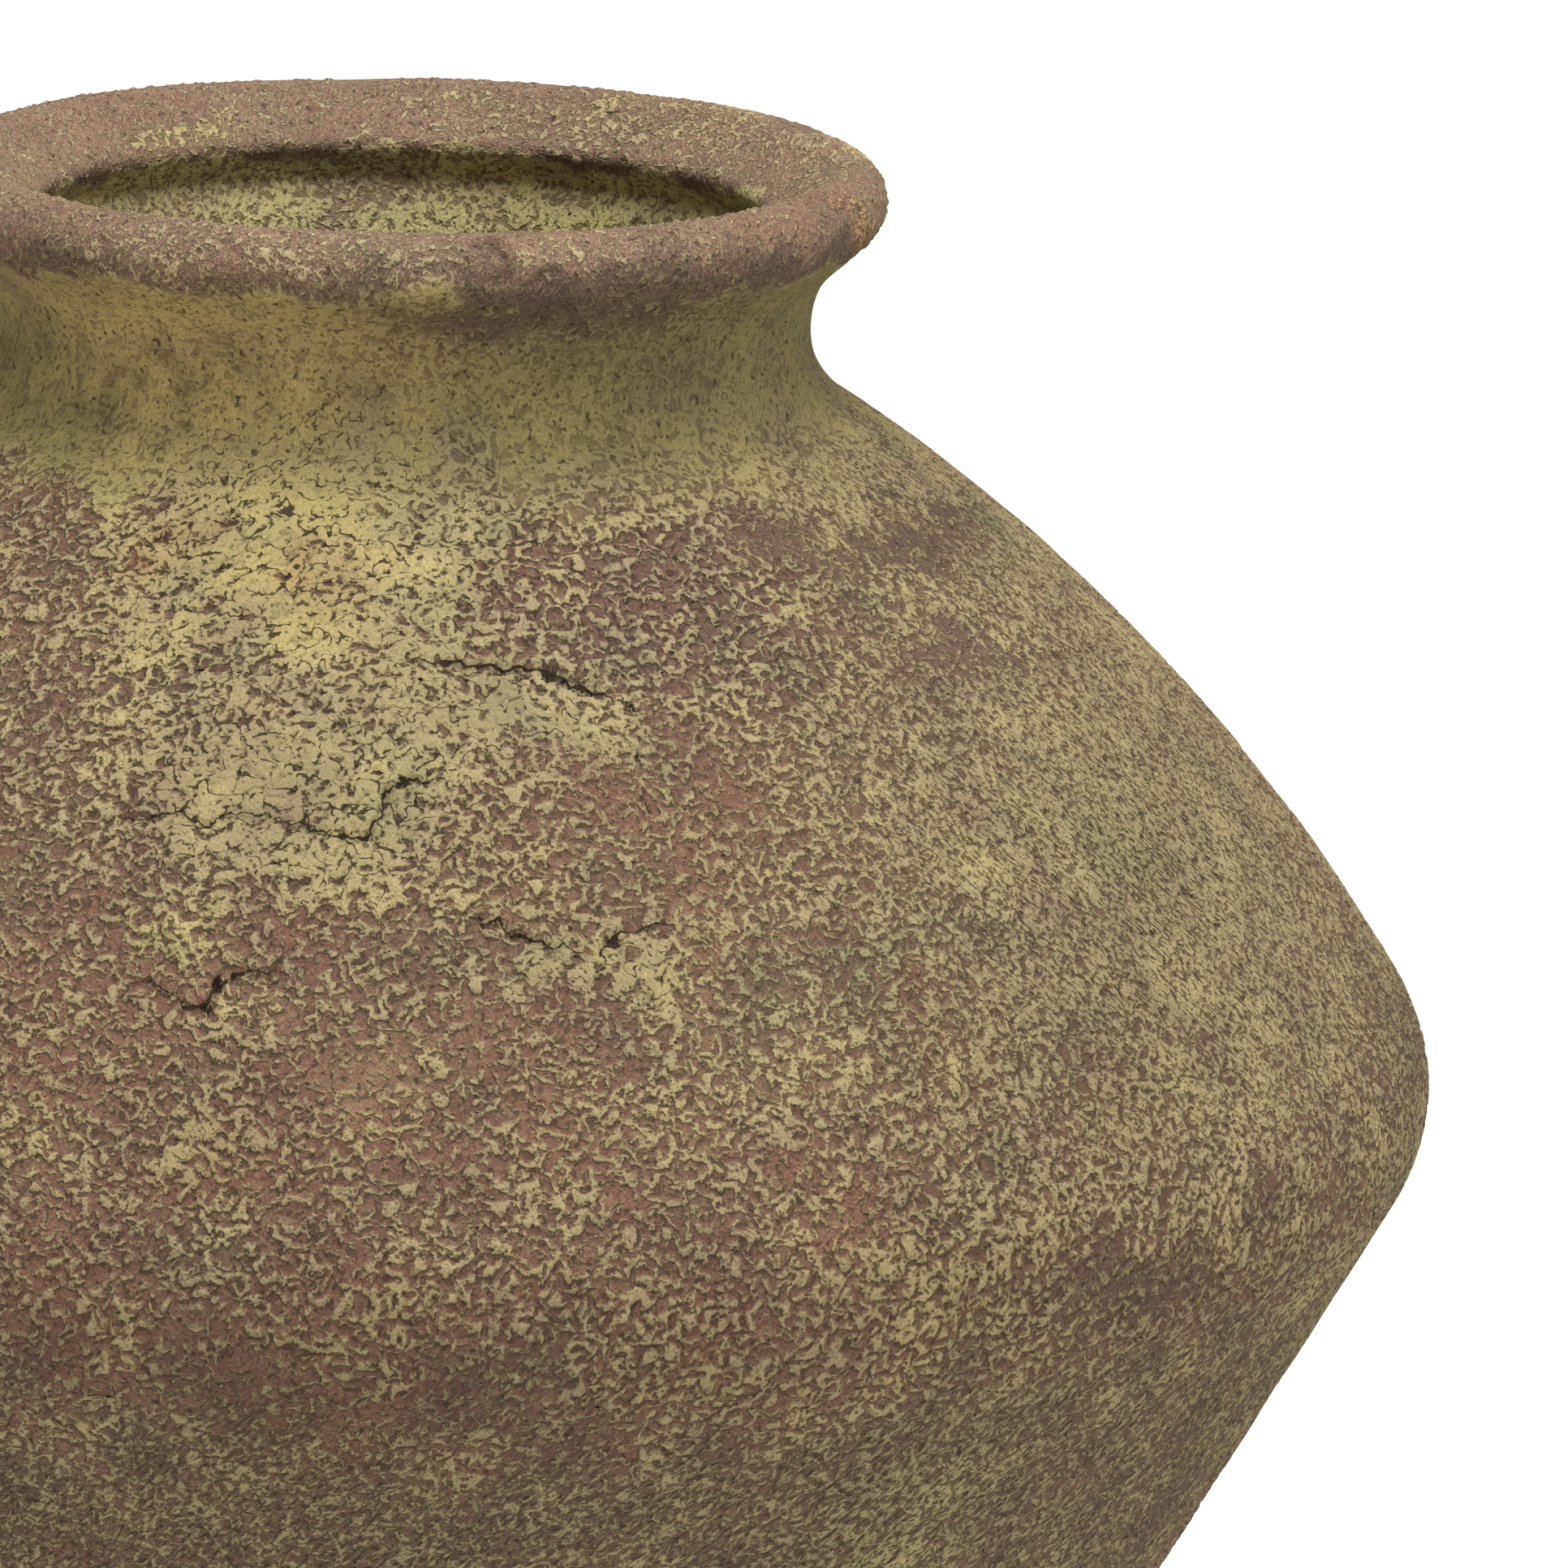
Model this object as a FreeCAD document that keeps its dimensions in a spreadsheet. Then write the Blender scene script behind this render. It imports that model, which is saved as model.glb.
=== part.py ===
import FreeCAD, Part
import math
import os
import Sketcher

# Greek pithos: a wide storage jar raised in clay courses that are keyed and luted together.
# Lengths are in millimetres. The floor is at zero and the jar's axis is the vertical axis.
# Every piece is one upright section turned about that axis.

# Outline of the jar, measured on its outer face
OUTLINE_SIZES = {
    "foot_radius": (90.0, "outer radius of the base where its straight side meets the floor"),
    "belly_radius": (200.0, "largest radius of the jar"),
    "belly_level": (201.0, "height of the widest place"),
    "belly_curve": (33.4, "radius of the bend at the widest place, in section"),
    "shoulder_curve": (356.0, "radius of the long domed shoulder, in section"),
    "neck_radius": (78.0, "outer radius of the narrowest place"),
    "neck_rise": (144.6, "height of the narrowest place above the widest"),
    "neck_curve": (18.2, "radius of the hollow of the neck, in section"),
}

# Rolled lip on top of the neck
LIP_SIZES = {
    "flare_run": (7.7, "straight slope between the hollow of the neck and the roll"),
    "lip_curve": (7.6, "radius of the roll's outer edge, in section"),
    "lip_overhang": (2.0, "how far the lip's inner edge stands in from the narrowest clay inside"),
    "throat_drop": (3.4, "how far the inner edge's bend lies below the roll's centre"),
    "throat_curve": (2.6, "radius of the lip's inner edge, in section"),
}

# Clay thickness, and the raised key that locks each course to the next
CLAY_SIZES = {
    "wall": (7.5, "thickness of the wall, square to its face"),
    "base_thickness": (12.0, "thickness of the base slab"),
    "base_rounding": (2.5, "radius of the base slab's lower edge"),
    "key_width": (3.0, "width of the raised key on the top of a course"),
    "key_height": (2.0, "height of the key above the seam"),
    "key_gap": (0.3, "room for slip round the key in its groove"),
}

# Slope of the flared underside of the lip, in degrees from upright
SLOPES = {
    "flare_angle": (47.9, "slope of the lip's underside, in degrees from upright"),
}

# How many rings make the lower wall and the shoulder
LOWER_COURSES = 4
SHOULDER_COURSES = 4

FULL_TURN = 360.0
PARTS_FOLDER = "parts"


def seam_name(number):
    return "seam_%d" % number


def lip_seam_name():
    """The lower wall and the shoulder each have one seam more than courses; the lip's comes next."""
    lower_seams = LOWER_COURSES + 1
    shoulder_seams = SHOULDER_COURSES + 1
    return seam_name(lower_seams + shoulder_seams + 1)


def fill_sheet(sheet):
    """Writes the driving sizes, then the places worked out from them."""
    row = 1
    for group in (OUTLINE_SIZES, LIP_SIZES, CLAY_SIZES, SLOPES):
        for alias, (size, note) in group.items():
            sheet.set("A%d" % row, alias)
            sheet.set("B%d" % row, str(size))
            sheet.set("C%d" % row, note)
            sheet.setAlias("B%d" % row, alias)
            row += 1
    for alias, formula in bend_places() + seam_places() + edge_places():
        sheet.set("A%d" % row, alias)
        sheet.set("B%d" % row, "=" + formula)
        sheet.setAlias("B%d" % row, alias)
        row += 1


def bend_places():
    """Centres of the outline's bends and the points where they touch, as formulas of the sizes."""
    return [
        # Bend at the widest place, and the straight lower wall that runs into it
        ("belly_centre", "belly_radius - belly_curve"),
        ("belly_inner_curve", "belly_curve - wall"),
        ("foot_reach", "hypot(belly_centre - foot_radius; belly_level)"),
        ("foot_slope", "atan2(belly_level; belly_centre - foot_radius)"
                       " - asin(belly_curve / foot_reach)"),
        ("lean_level", "belly_level - belly_curve * cos(foot_slope)"),
        ("lean_inner_radius", "belly_centre + belly_inner_curve * sin(foot_slope)"),
        ("lean_inner_level", "belly_level - belly_inner_curve * cos(foot_slope)"),
        # Hollow of the neck
        ("neck_level", "belly_level + neck_rise"),
        ("neck_centre", "neck_radius + neck_curve"),
        ("neck_inner_curve", "neck_curve + wall"),
        # Domed shoulder, which touches the belly's bend and the neck's hollow
        ("shoulder_inner_curve", "shoulder_curve - wall"),
        ("belly_reach", "shoulder_curve - belly_curve"),
        ("neck_reach", "shoulder_curve + neck_curve"),
        ("centre_span", "hypot(neck_centre - belly_centre; neck_rise)"),
        ("span_along", "(belly_reach ^ 2 - neck_reach ^ 2 + centre_span ^ 2) / (2 * centre_span)"),
        ("span_across", "sqrt(belly_reach ^ 2 - span_along ^ 2)"),
        ("span_turn", "atan2(neck_rise; neck_centre - belly_centre)"),
        ("shoulder_centre", "belly_centre + span_along * cos(span_turn)"
                            " - span_across * sin(span_turn)"),
        ("shoulder_level", "belly_level + span_along * sin(span_turn)"
                           " + span_across * cos(span_turn)"),
        ("belly_turn", "atan2(belly_level - shoulder_level; belly_centre - shoulder_centre)"),
        ("neck_turn", "atan2(neck_level - shoulder_level; neck_centre - shoulder_centre)"),
        ("bend_top_level", "belly_level + belly_curve * sin(belly_turn)"),
        ("bend_inner_radius", "belly_centre + belly_inner_curve * cos(belly_turn)"),
        ("bend_inner_level", "belly_level + belly_inner_curve * sin(belly_turn)"),
        ("neck_foot_level", "neck_level - neck_curve * sin(neck_turn)"),
        ("neck_inner_radius", "neck_centre - neck_inner_curve * cos(neck_turn)"),
        ("neck_inner_level", "neck_level - neck_inner_curve * sin(neck_turn)"),
        # Flared underside of the lip, the roll and its inner edge
        ("flare_level", "neck_level + neck_curve * sin(flare_angle)"),
        ("flare_radius", "neck_centre - neck_curve * cos(flare_angle)"),
        ("roll_foot_radius", "flare_radius + flare_run * sin(flare_angle)"),
        ("roll_foot_level", "flare_level + flare_run * cos(flare_angle)"),
        ("roll_centre", "roll_foot_radius - lip_curve * cos(flare_angle)"),
        ("roll_level", "roll_foot_level + lip_curve * sin(flare_angle)"),
        ("throat_radius", "neck_radius - wall - lip_overhang"),
        ("throat_centre", "throat_radius + throat_curve"),
        ("throat_level", "roll_level - throat_drop"),
        ("lip_span", "hypot(roll_centre - throat_centre; throat_drop)"),
        ("lip_turn", "180 deg + atan2(throat_drop; roll_centre - throat_centre)"
                     " - acos((lip_curve - throat_curve) / lip_span)"),
        ("roll_top_radius", "roll_centre + lip_curve * cos(lip_turn)"),
        ("roll_top_level", "roll_level + lip_curve * sin(lip_turn)"),
        ("throat_top_radius", "throat_centre + throat_curve * cos(lip_turn)"),
        ("throat_top_level", "throat_level + throat_curve * sin(lip_turn)"),
    ]


def seam_places():
    """Places of every seam between two pieces, from the base upwards."""
    shoulder_outer = "shoulder_centre + sqrt(shoulder_curve ^ 2 - ({0} - shoulder_level) ^ 2)"
    shoulder_inner = "shoulder_centre + sqrt(shoulder_inner_curve ^ 2 - ({0} - shoulder_level) ^ 2)"
    neck_outer = "neck_centre - sqrt(neck_curve ^ 2 - ({0} - neck_level) ^ 2)"
    neck_inner = "neck_centre - sqrt(neck_inner_curve ^ 2 - ({0} - neck_level) ^ 2)"
    lower_outer = "foot_radius + {0} / tan(foot_slope)"
    lower_inner = lower_outer + " - wall / sin(foot_slope)"
    places = []
    number = 1
    # Seams of the straight lower wall, the last of them where the belly's bend begins
    for course in range(LOWER_COURSES + 1):
        level = "base_thickness + (lean_level - base_thickness) * %d / %d" % (course, LOWER_COURSES)
        places += one_seam(seam_name(number), level, lower_outer, lower_inner)
        number += 1
    # Seams of the shoulder, from the end of the belly's bend to the foot of the neck
    for course in range(SHOULDER_COURSES + 1):
        level = ("bend_top_level + (neck_foot_level - bend_top_level) * %d / %d"
                 % (course, SHOULDER_COURSES))
        inner = neck_inner if course == SHOULDER_COURSES else shoulder_inner
        places += one_seam(seam_name(number), level, shoulder_outer, inner)
        number += 1
    places += one_seam(lip_seam_name(), "flare_level", neck_outer, neck_inner)
    return places


def one_seam(name, level, outer, inner):
    """A flat seam with its key, which stands on the middle of the clay at half the key's height."""
    seam_level = name + "_level"
    half_height = "(%s + key_height / 2)" % seam_level
    middle = "(%s + %s) / 2" % (outer.format(half_height), inner.format(half_height))
    key = name + "_key"
    return [
        (seam_level, level),
        (name + "_outer", outer.format(seam_level)),
        (name + "_inner", inner.format(seam_level)),
        (key, middle),
        (key + "_outer", key + " + key_width / 2"),
        (key + "_inner", key + " - key_width / 2"),
        (key + "_top", seam_level + " + key_height"),
        (name + "_groove_outer", key + "_outer + key_gap"),
        (name + "_groove_inner", key + "_inner - key_gap"),
        (name + "_groove_top", key + "_top + key_gap"),
    ]


def edge_places():
    """Where the lip's undercut and the base's rounded edge begin and end."""
    seam_inner = lip_seam_name() + "_inner"
    seam_level = lip_seam_name() + "_level"
    undercut_across = "throat_centre - " + seam_inner
    undercut_upward = "throat_level - " + seam_level
    return [
        ("undercut_reach", "hypot(%s; %s)" % (undercut_across, undercut_upward)),
        ("undercut_turn", "atan2(%s; %s) + asin(throat_curve / undercut_reach)"
                          % (undercut_upward, undercut_across)),
        ("undercut_radius", "throat_centre - throat_curve * sin(undercut_turn)"),
        ("undercut_level", "throat_level + throat_curve * cos(undercut_turn)"),
        ("rounding_run", "base_rounding * tan(foot_slope / 2)"),
        ("rounding_start", "foot_radius - rounding_run"),
        ("rounding_radius", "foot_radius + rounding_run * cos(foot_slope)"),
        ("rounding_level", "rounding_run * sin(foot_slope)"),
    ]


def corner(radius, level, bend=None):
    """A corner of a section: its cells, and the bend that leads on to the next corner, if any.

    A radius of None lies on the axis, and a level of None on the floor.
    """
    return (radius, level, bend)


# Bends of the outer face, and the same bends one wall thickness inside: centre and curve
BELLY_OUTER = ("belly_centre", "belly_level", "belly_curve")
BELLY_INNER = ("belly_centre", "belly_level", "belly_inner_curve")
SHOULDER_OUTER = ("shoulder_centre", "shoulder_level", "shoulder_curve")
SHOULDER_INNER = ("shoulder_centre", "shoulder_level", "shoulder_inner_curve")
NECK_OUTER = ("neck_centre", "neck_level", "neck_curve")
NECK_INNER = ("neck_centre", "neck_level", "neck_inner_curve")
ROLL = ("roll_centre", "roll_level", "lip_curve")
THROAT = ("throat_centre", "throat_level", "throat_curve")
FOOT_EDGE = ("rounding_start", "base_rounding", "base_rounding")


def key_corners(seam):
    """The raised key on a piece's top, walked from the outer face to the inner one."""
    return [
        corner(seam + "_key_outer", seam + "_level"),
        corner(seam + "_key_outer", seam + "_key_top"),
        corner(seam + "_key_inner", seam + "_key_top"),
        corner(seam + "_key_inner", seam + "_level"),
    ]


def groove_corners(seam):
    """The groove in a piece's underside, walked from the inner face to the outer one."""
    return [
        corner(seam + "_groove_inner", seam + "_level"),
        corner(seam + "_groove_inner", seam + "_groove_top"),
        corner(seam + "_groove_outer", seam + "_groove_top"),
        corner(seam + "_groove_outer", seam + "_level"),
    ]


def course_section(number, outer_bend, inner_bend, inner_corners=()):
    """A ring between two seams: groove below, outer face, key above, inner face back down."""
    below = seam_name(number)
    above = seam_name(number + 1)
    section = [corner(below + "_inner", below + "_level")]
    section += groove_corners(below)
    section.append(corner(below + "_outer", below + "_level", outer_bend))
    section.append(corner(above + "_outer", above + "_level"))
    section += key_corners(above)
    section.append(corner(above + "_inner", above + "_level", inner_bend))
    section += inner_corners
    return section


def base_section():
    """A solid disc from the axis out to the wall, with the first key on its rim."""
    seam = seam_name(1)
    section = [
        corner(None, None),
        corner("rounding_start", None, FOOT_EDGE),
        corner("rounding_radius", "rounding_level"),
        corner(seam + "_outer", seam + "_level"),
    ]
    section += key_corners(seam)
    section.append(corner(None, seam + "_level"))
    return section


def lip_section():
    """The rolled lip: flared underside, outer roll, sloping top, inner edge and undercut."""
    seam = lip_seam_name()
    section = [corner(seam + "_inner", seam + "_level")]
    section += groove_corners(seam)
    section += [
        corner(seam + "_outer", seam + "_level"),
        corner("roll_foot_radius", "roll_foot_level", ROLL),
        corner("roll_top_radius", "roll_top_level"),
        corner("throat_top_radius", "throat_top_level", THROAT),
        corner("undercut_radius", "undercut_level"),
    ]
    return section


def all_sections():
    """Every piece's name with its section, from the floor upwards."""
    pieces = [("base_slab", base_section())]
    number = 1
    for course in range(LOWER_COURSES):
        pieces.append(("lower_course_%d" % (course + 1), course_section(number, None, None)))
        number += 1
    belly_corners = [
        corner("bend_inner_radius", "bend_inner_level", BELLY_INNER),
        corner("lean_inner_radius", "lean_inner_level"),
    ]
    belly = course_section(number, BELLY_OUTER, SHOULDER_INNER, belly_corners)
    pieces.append(("belly_course", belly))
    number += 1
    for course in range(SHOULDER_COURSES - 1):
        ring = course_section(number, SHOULDER_OUTER, SHOULDER_INNER)
        pieces.append(("shoulder_course_%d" % (course + 1), ring))
        number += 1
    neck_corners = [corner("neck_inner_radius", "neck_inner_level", SHOULDER_INNER)]
    ring = course_section(number, SHOULDER_OUTER, NECK_INNER, neck_corners)
    pieces.append(("shoulder_course_%d" % SHOULDER_COURSES, ring))
    number += 1
    pieces.append(("neck_collar", course_section(number, NECK_OUTER, NECK_INNER)))
    pieces.append(("rim_roll", lip_section()))
    return pieces


def origin_plane(body, role):
    for feature in body.Origin.OriginFeatures:
        if feature.Role == role:
            return feature
    raise RuntimeError("no plane " + role)


def cell_value(sheet, alias):
    """The number that a cell holds now; no alias stands for zero."""
    if alias is None:
        return 0.0
    value = sheet.get(alias)
    return float(getattr(value, "Value", value))


def add_edge(sketch, sheet, start, end):
    """Adds one edge of a section; gives its number and which of its ends come first and last."""
    first = FreeCAD.Vector(cell_value(sheet, start[0]), cell_value(sheet, start[1]), 0)
    last = FreeCAD.Vector(cell_value(sheet, end[0]), cell_value(sheet, end[1]), 0)
    if start[2] is None:
        return sketch.addGeometry(Part.LineSegment(first, last), False), 1, 2
    centre_radius, centre_level, curve = start[2]
    centre = FreeCAD.Vector(cell_value(sheet, centre_radius), cell_value(sheet, centre_level), 0)
    circle = Part.Circle(centre, FreeCAD.Vector(0, 0, 1), cell_value(sheet, curve))
    first_angle = math.atan2(first.y - centre.y, first.x - centre.x)
    last_angle = math.atan2(last.y - centre.y, last.x - centre.x)
    if (last_angle - first_angle) % (2 * math.pi) < math.pi:
        return sketch.addGeometry(Part.ArcOfCircle(circle, first_angle, last_angle), False), 1, 2
    return sketch.addGeometry(Part.ArcOfCircle(circle, last_angle, first_angle), False), 2, 1


def bind(sketch, constraint, label, alias):
    """Adds a constraint with a name and ties it to a cell of the sheet."""
    index = sketch.addConstraint(constraint)
    sketch.renameConstraint(index, label)
    sketch.setExpression("Constraints." + label, "Sizes." + alias)


def draw_section(sketch, sheet, section):
    """Draws the section's edges, joins them end to end and ties every corner to the sheet."""
    edges = []
    for index, start in enumerate(section):
        end = section[(index + 1) % len(section)]
        edges.append(add_edge(sketch, sheet, start, end))
    for index, (edge, first, last) in enumerate(edges):
        next_edge, next_first, next_last = edges[(index + 1) % len(edges)]
        sketch.addConstraint(Sketcher.Constraint("Coincident", edge, last, next_edge, next_first))
    for index, (radius, level, bend) in enumerate(section):
        edge, first, last = edges[index]
        if radius is None:
            sketch.addConstraint(Sketcher.Constraint("PointOnObject", edge, first, -2))
        else:
            across = Sketcher.Constraint("DistanceX", -1, 1, edge, first, cell_value(sheet, radius))
            bind(sketch, across, "radius_%d" % index, radius)
        if level is None:
            sketch.addConstraint(Sketcher.Constraint("PointOnObject", edge, first, -1))
        else:
            upward = Sketcher.Constraint("DistanceY", -1, 1, edge, first, cell_value(sheet, level))
            bind(sketch, upward, "level_%d" % index, level)
        if bend is not None:
            curve = Sketcher.Constraint("Radius", edge, cell_value(sheet, bend[2]))
            bind(sketch, curve, "curve_%d" % index, bend[2])


def turned_piece(document, sheet, name, section):
    """One ring or disc: its section on the upright plane, turned once about the jar's axis."""
    body = document.addObject("PartDesign::Body", name)
    body.Label = name
    sketch = body.newObject("Sketcher::SketchObject", name + "_section")
    sketch.AttachmentSupport = [(origin_plane(body, "XZ_Plane"), "")]
    sketch.MapMode = "FlatFace"
    document.recompute()
    draw_section(sketch, sheet, section)
    turn = body.newObject("PartDesign::Revolution", name + "_turn")
    turn.Profile = sketch
    turn.ReferenceAxis = (sketch, ["V_Axis"])
    turn.Angle = FULL_TURN
    body.Tip = turn
    body.Placement = FreeCAD.Placement(FreeCAD.Vector(0, 0, 0), FreeCAD.Rotation())
    return body


def check_document(document, bodies):
    """Stops with a message if any object failed or any piece isn't a sound solid."""
    for item in document.Objects:
        if "Invalid" in item.State or "Error" in item.State:
            raise RuntimeError("%s failed: %s" % (item.Name, item.State))
    for body in bodies:
        shape = body.Shape
        if shape.isNull() or not shape.isValid() or len(shape.Solids) != 1:
            raise RuntimeError(body.Label + " has no sound solid")


def main():
    document = FreeCAD.newDocument("greek_pithos")
    sheet = document.addObject("Spreadsheet::Sheet", "Sizes")
    fill_sheet(sheet)
    document.recompute()
    bodies = []
    for name, section in all_sections():
        bodies.append(turned_piece(document, sheet, name, section))
    document.recompute()
    check_document(document, bodies)
    os.makedirs(PARTS_FOLDER, exist_ok=True)
    for body in bodies:
        body.Shape.exportStep(os.path.join(PARTS_FOLDER, body.Label + ".step"))
        box = body.Shape.optimalBoundingBox()
        print("%-18s volume %7.0f  levels %6.2f to %6.2f  radius %6.2f"
              % (body.Label, body.Shape.Volume, box.ZMin, box.ZMax, box.XMax))


main()
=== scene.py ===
import math
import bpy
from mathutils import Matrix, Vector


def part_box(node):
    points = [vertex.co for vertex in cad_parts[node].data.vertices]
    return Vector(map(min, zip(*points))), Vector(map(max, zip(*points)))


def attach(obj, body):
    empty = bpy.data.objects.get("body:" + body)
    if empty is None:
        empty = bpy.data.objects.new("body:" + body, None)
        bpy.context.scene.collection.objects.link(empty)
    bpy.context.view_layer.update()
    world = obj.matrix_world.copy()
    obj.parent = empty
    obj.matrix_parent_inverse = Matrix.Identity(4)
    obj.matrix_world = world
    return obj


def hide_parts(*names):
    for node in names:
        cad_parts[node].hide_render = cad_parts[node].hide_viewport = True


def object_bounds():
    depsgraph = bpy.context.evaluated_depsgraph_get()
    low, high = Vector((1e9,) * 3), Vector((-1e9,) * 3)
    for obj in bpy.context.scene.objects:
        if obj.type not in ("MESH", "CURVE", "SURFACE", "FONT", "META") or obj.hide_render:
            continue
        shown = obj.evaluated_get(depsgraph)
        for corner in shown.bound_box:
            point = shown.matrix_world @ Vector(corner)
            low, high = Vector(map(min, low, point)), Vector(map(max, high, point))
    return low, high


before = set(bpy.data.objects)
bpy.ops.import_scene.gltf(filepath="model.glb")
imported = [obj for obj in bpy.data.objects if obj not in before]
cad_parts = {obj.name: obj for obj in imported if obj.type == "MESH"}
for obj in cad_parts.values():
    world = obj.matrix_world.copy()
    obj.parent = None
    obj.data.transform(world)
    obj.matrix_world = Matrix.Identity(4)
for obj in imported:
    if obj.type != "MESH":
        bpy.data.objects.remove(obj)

from types import SimpleNamespace

import bmesh
import bpy
import numpy as np
from bpy.props import FloatProperty, FloatVectorProperty, IntProperty, PointerProperty
from mathutils import Euler, Matrix, Vector

CAD_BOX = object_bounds()

bl_info = {
    "name": "Greek pithos",
    "version": (1, 0, 0),
    "blender": (4, 5, 0),
    "location": "View3D > Sidebar > Pithos",
    "description": "Dresses the packed clay courses of a storage jar in weathered, crusted clay",
    "category": "Object",
}

MM = 0.001
# How far the key on a course stands above its seam, in metres
KEY_HEIGHT = 0.002


def screen_colour(red, green, blue):
    """A colour read off a screen, 0 to 255, in the linear numbers that Blender keeps."""
    shares = [value / 255 for value in (red, green, blue)]
    return tuple(s / 12.92 if s <= 0.04045 else ((s + 0.055) / 1.055) ** 2.4 for s in shares)


def length_setting(name, description, default):
    return FloatProperty(name=name, description=description, default=default, unit="LENGTH")


def angle_setting(name, description, degrees):
    return FloatProperty(name=name, description=description, default=math.radians(degrees),
                         subtype="ANGLE")


def number_setting(name, description, default):
    return FloatProperty(name=name, description=description, default=default)


def colour_setting(name, description, default):
    return FloatVectorProperty(name=name, description=description, default=default,
                               subtype="COLOR", min=0, max=1)


# What a user may change

class PithosSizes(bpy.types.PropertyGroup):
    """The jar's turned outline, as the CAD courses have it."""
    foot_radius: length_setting("Foot radius", "Outer radius where the wall meets the floor", 0.090)
    belly_radius: length_setting("Belly radius", "Largest radius of the jar",
                                 max(CAD_BOX[1][0], CAD_BOX[1][1]))
    belly_level: length_setting("Belly level", "Height of the widest place", 0.201)
    belly_curve: length_setting("Belly curve", "Radius of the bend at the widest place", 0.0334)
    shoulder_curve: length_setting("Shoulder curve", "Radius of the domed shoulder", 0.356)
    neck_radius: length_setting("Neck radius", "Outer radius of the narrowest place", 0.078)
    neck_rise: length_setting("Neck rise", "Height of the narrowest place above the widest", 0.1446)
    neck_curve: length_setting("Neck curve", "Radius of the hollow of the neck", 0.0182)
    flare_angle: angle_setting("Flare angle", "Slope of the lip's underside, from upright", 47.9)
    flare_run: length_setting("Flare run", "Straight slope between the neck and the roll", 0.0077)
    lip_curve: length_setting("Lip curve", "Radius of the rolled edge", 0.0076)
    lip_overhang: length_setting("Lip overhang", "How far the lip stands in from the neck's inner face",
                                 0.002)
    throat_drop: length_setting("Throat drop", "How far the inner edge lies below the roll's centre",
                                0.0034)
    throat_curve: length_setting("Throat curve", "Radius of the lip's inner edge", 0.0026)
    wall: length_setting("Wall", "Thickness of the clay", 0.0075)
    base_thickness: length_setting("Base thickness", "Thickness of the base slab",
                                   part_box("base_slab")[1][2] - KEY_HEIGHT)
    base_rounding: length_setting("Base rounding", "Radius of the base's lower edge", 0.0025)


class PithosCrust(bpy.types.PropertyGroup):
    """The mineral crust and the relief that it gives the clay."""
    mesh_step: length_setting("Mesh step", "Distance between two points of the outer face", 0.00086)
    inner_step: length_setting("Inner step", "Distance between two rows of the plain inner face", 0.006)
    base_step: length_setting("Base step", "Distance between two points of the base slab", 0.0012)
    ridge_height: length_setting("Ridge height", "How high the coarsest ridges stand on the clay", 0.00080)
    clay_depth: length_setting("Crust depth", "How deep the top of the crust lies under the outline",
                               0.00015)
    sway: length_setting("Sway", "Slow rise and fall left by the potter's hands", 0.00014)
    seed: IntProperty(name="Seed", description="Number that the random pattern starts from",
                      default=11)


class PithosColours(bpy.types.PropertyGroup):
    """Colours of the clay, the crust and the dirt, which also paints shade in cracks and shadow under
    overhanging crust.
    """
    clay_brown: colour_setting("Brown clay", "Bare clay where it is dullest", screen_colour(126, 99, 80))
    clay_red: colour_setting("Red clay", "Bare clay where it is reddest", screen_colour(147, 98, 81))
    clay_mauve: colour_setting("Mauve clay", "Bare clay where smoke stained it", screen_colour(116, 87, 81))
    crust_khaki: colour_setting("Khaki crust", "The usual crust", screen_colour(180, 163, 127))
    crust_yellow: colour_setting("Yellow crust", "Crust on the sunny side of the shoulder",
                                 screen_colour(190, 174, 112))
    crust_green: colour_setting("Green crust", "Crust tinted by algae", screen_colour(160, 160, 108))
    crust_orange: colour_setting("Orange crust", "Crust tinted by iron", screen_colour(188, 140, 84))
    # This colour also paints shade in cracks, scars and holes, and the shadow under overhanging crust
    crack_dirt_and_shade: colour_setting("Dirt", "Dirt in cracks and slits", screen_colour(58, 46, 34))
    floor: colour_setting("Floor", "The studio floor", (0.82, 0.82, 0.81))


class PithosStudio(bpy.types.PropertyGroup):
    """The camera and the lamps."""
    lens: number_setting("Lens", "Focal length in millimetres", 295.0)
    camera_right: length_setting("Camera right", "How far right of the jar's axis the camera stands",
                                 0.0747)
    camera_back: length_setting("Camera distance", "How far in front of the jar the camera stands", 2.4)
    camera_level: length_setting("Camera level", "Height of the camera", 0.799)
    camera_pitch: angle_setting("Camera pitch", "How far the camera looks down", 12.74)
    camera_roll: angle_setting("Camera roll", "How far the camera leans sideways", 1.34)
    key_power: number_setting("Key power", "Power of the large lamp in watts", 45.0)
    fill_power: number_setting("Fill power", "Power of the weak lamp in watts", 9.0)
    sky: number_setting("Sky", "Strength of the even light from all round", 0.34)


# The turned outline

# Distance in millimetres between the points that hold the outline
POINT_GAP = 0.04


def bend(centre, curve, start, end):
    """Points of an arc in millimetres, from one angle to another."""
    count = max(8, int(abs(end - start) * curve / POINT_GAP))
    angles = np.linspace(start, end, count)
    return np.stack([centre[0] + curve * np.cos(angles), centre[1] + curve * np.sin(angles)], 1)


def straight(start, end):
    count = max(8, int(math.dist(start, end) / POINT_GAP))
    return np.linspace(start, end, count)


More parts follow.
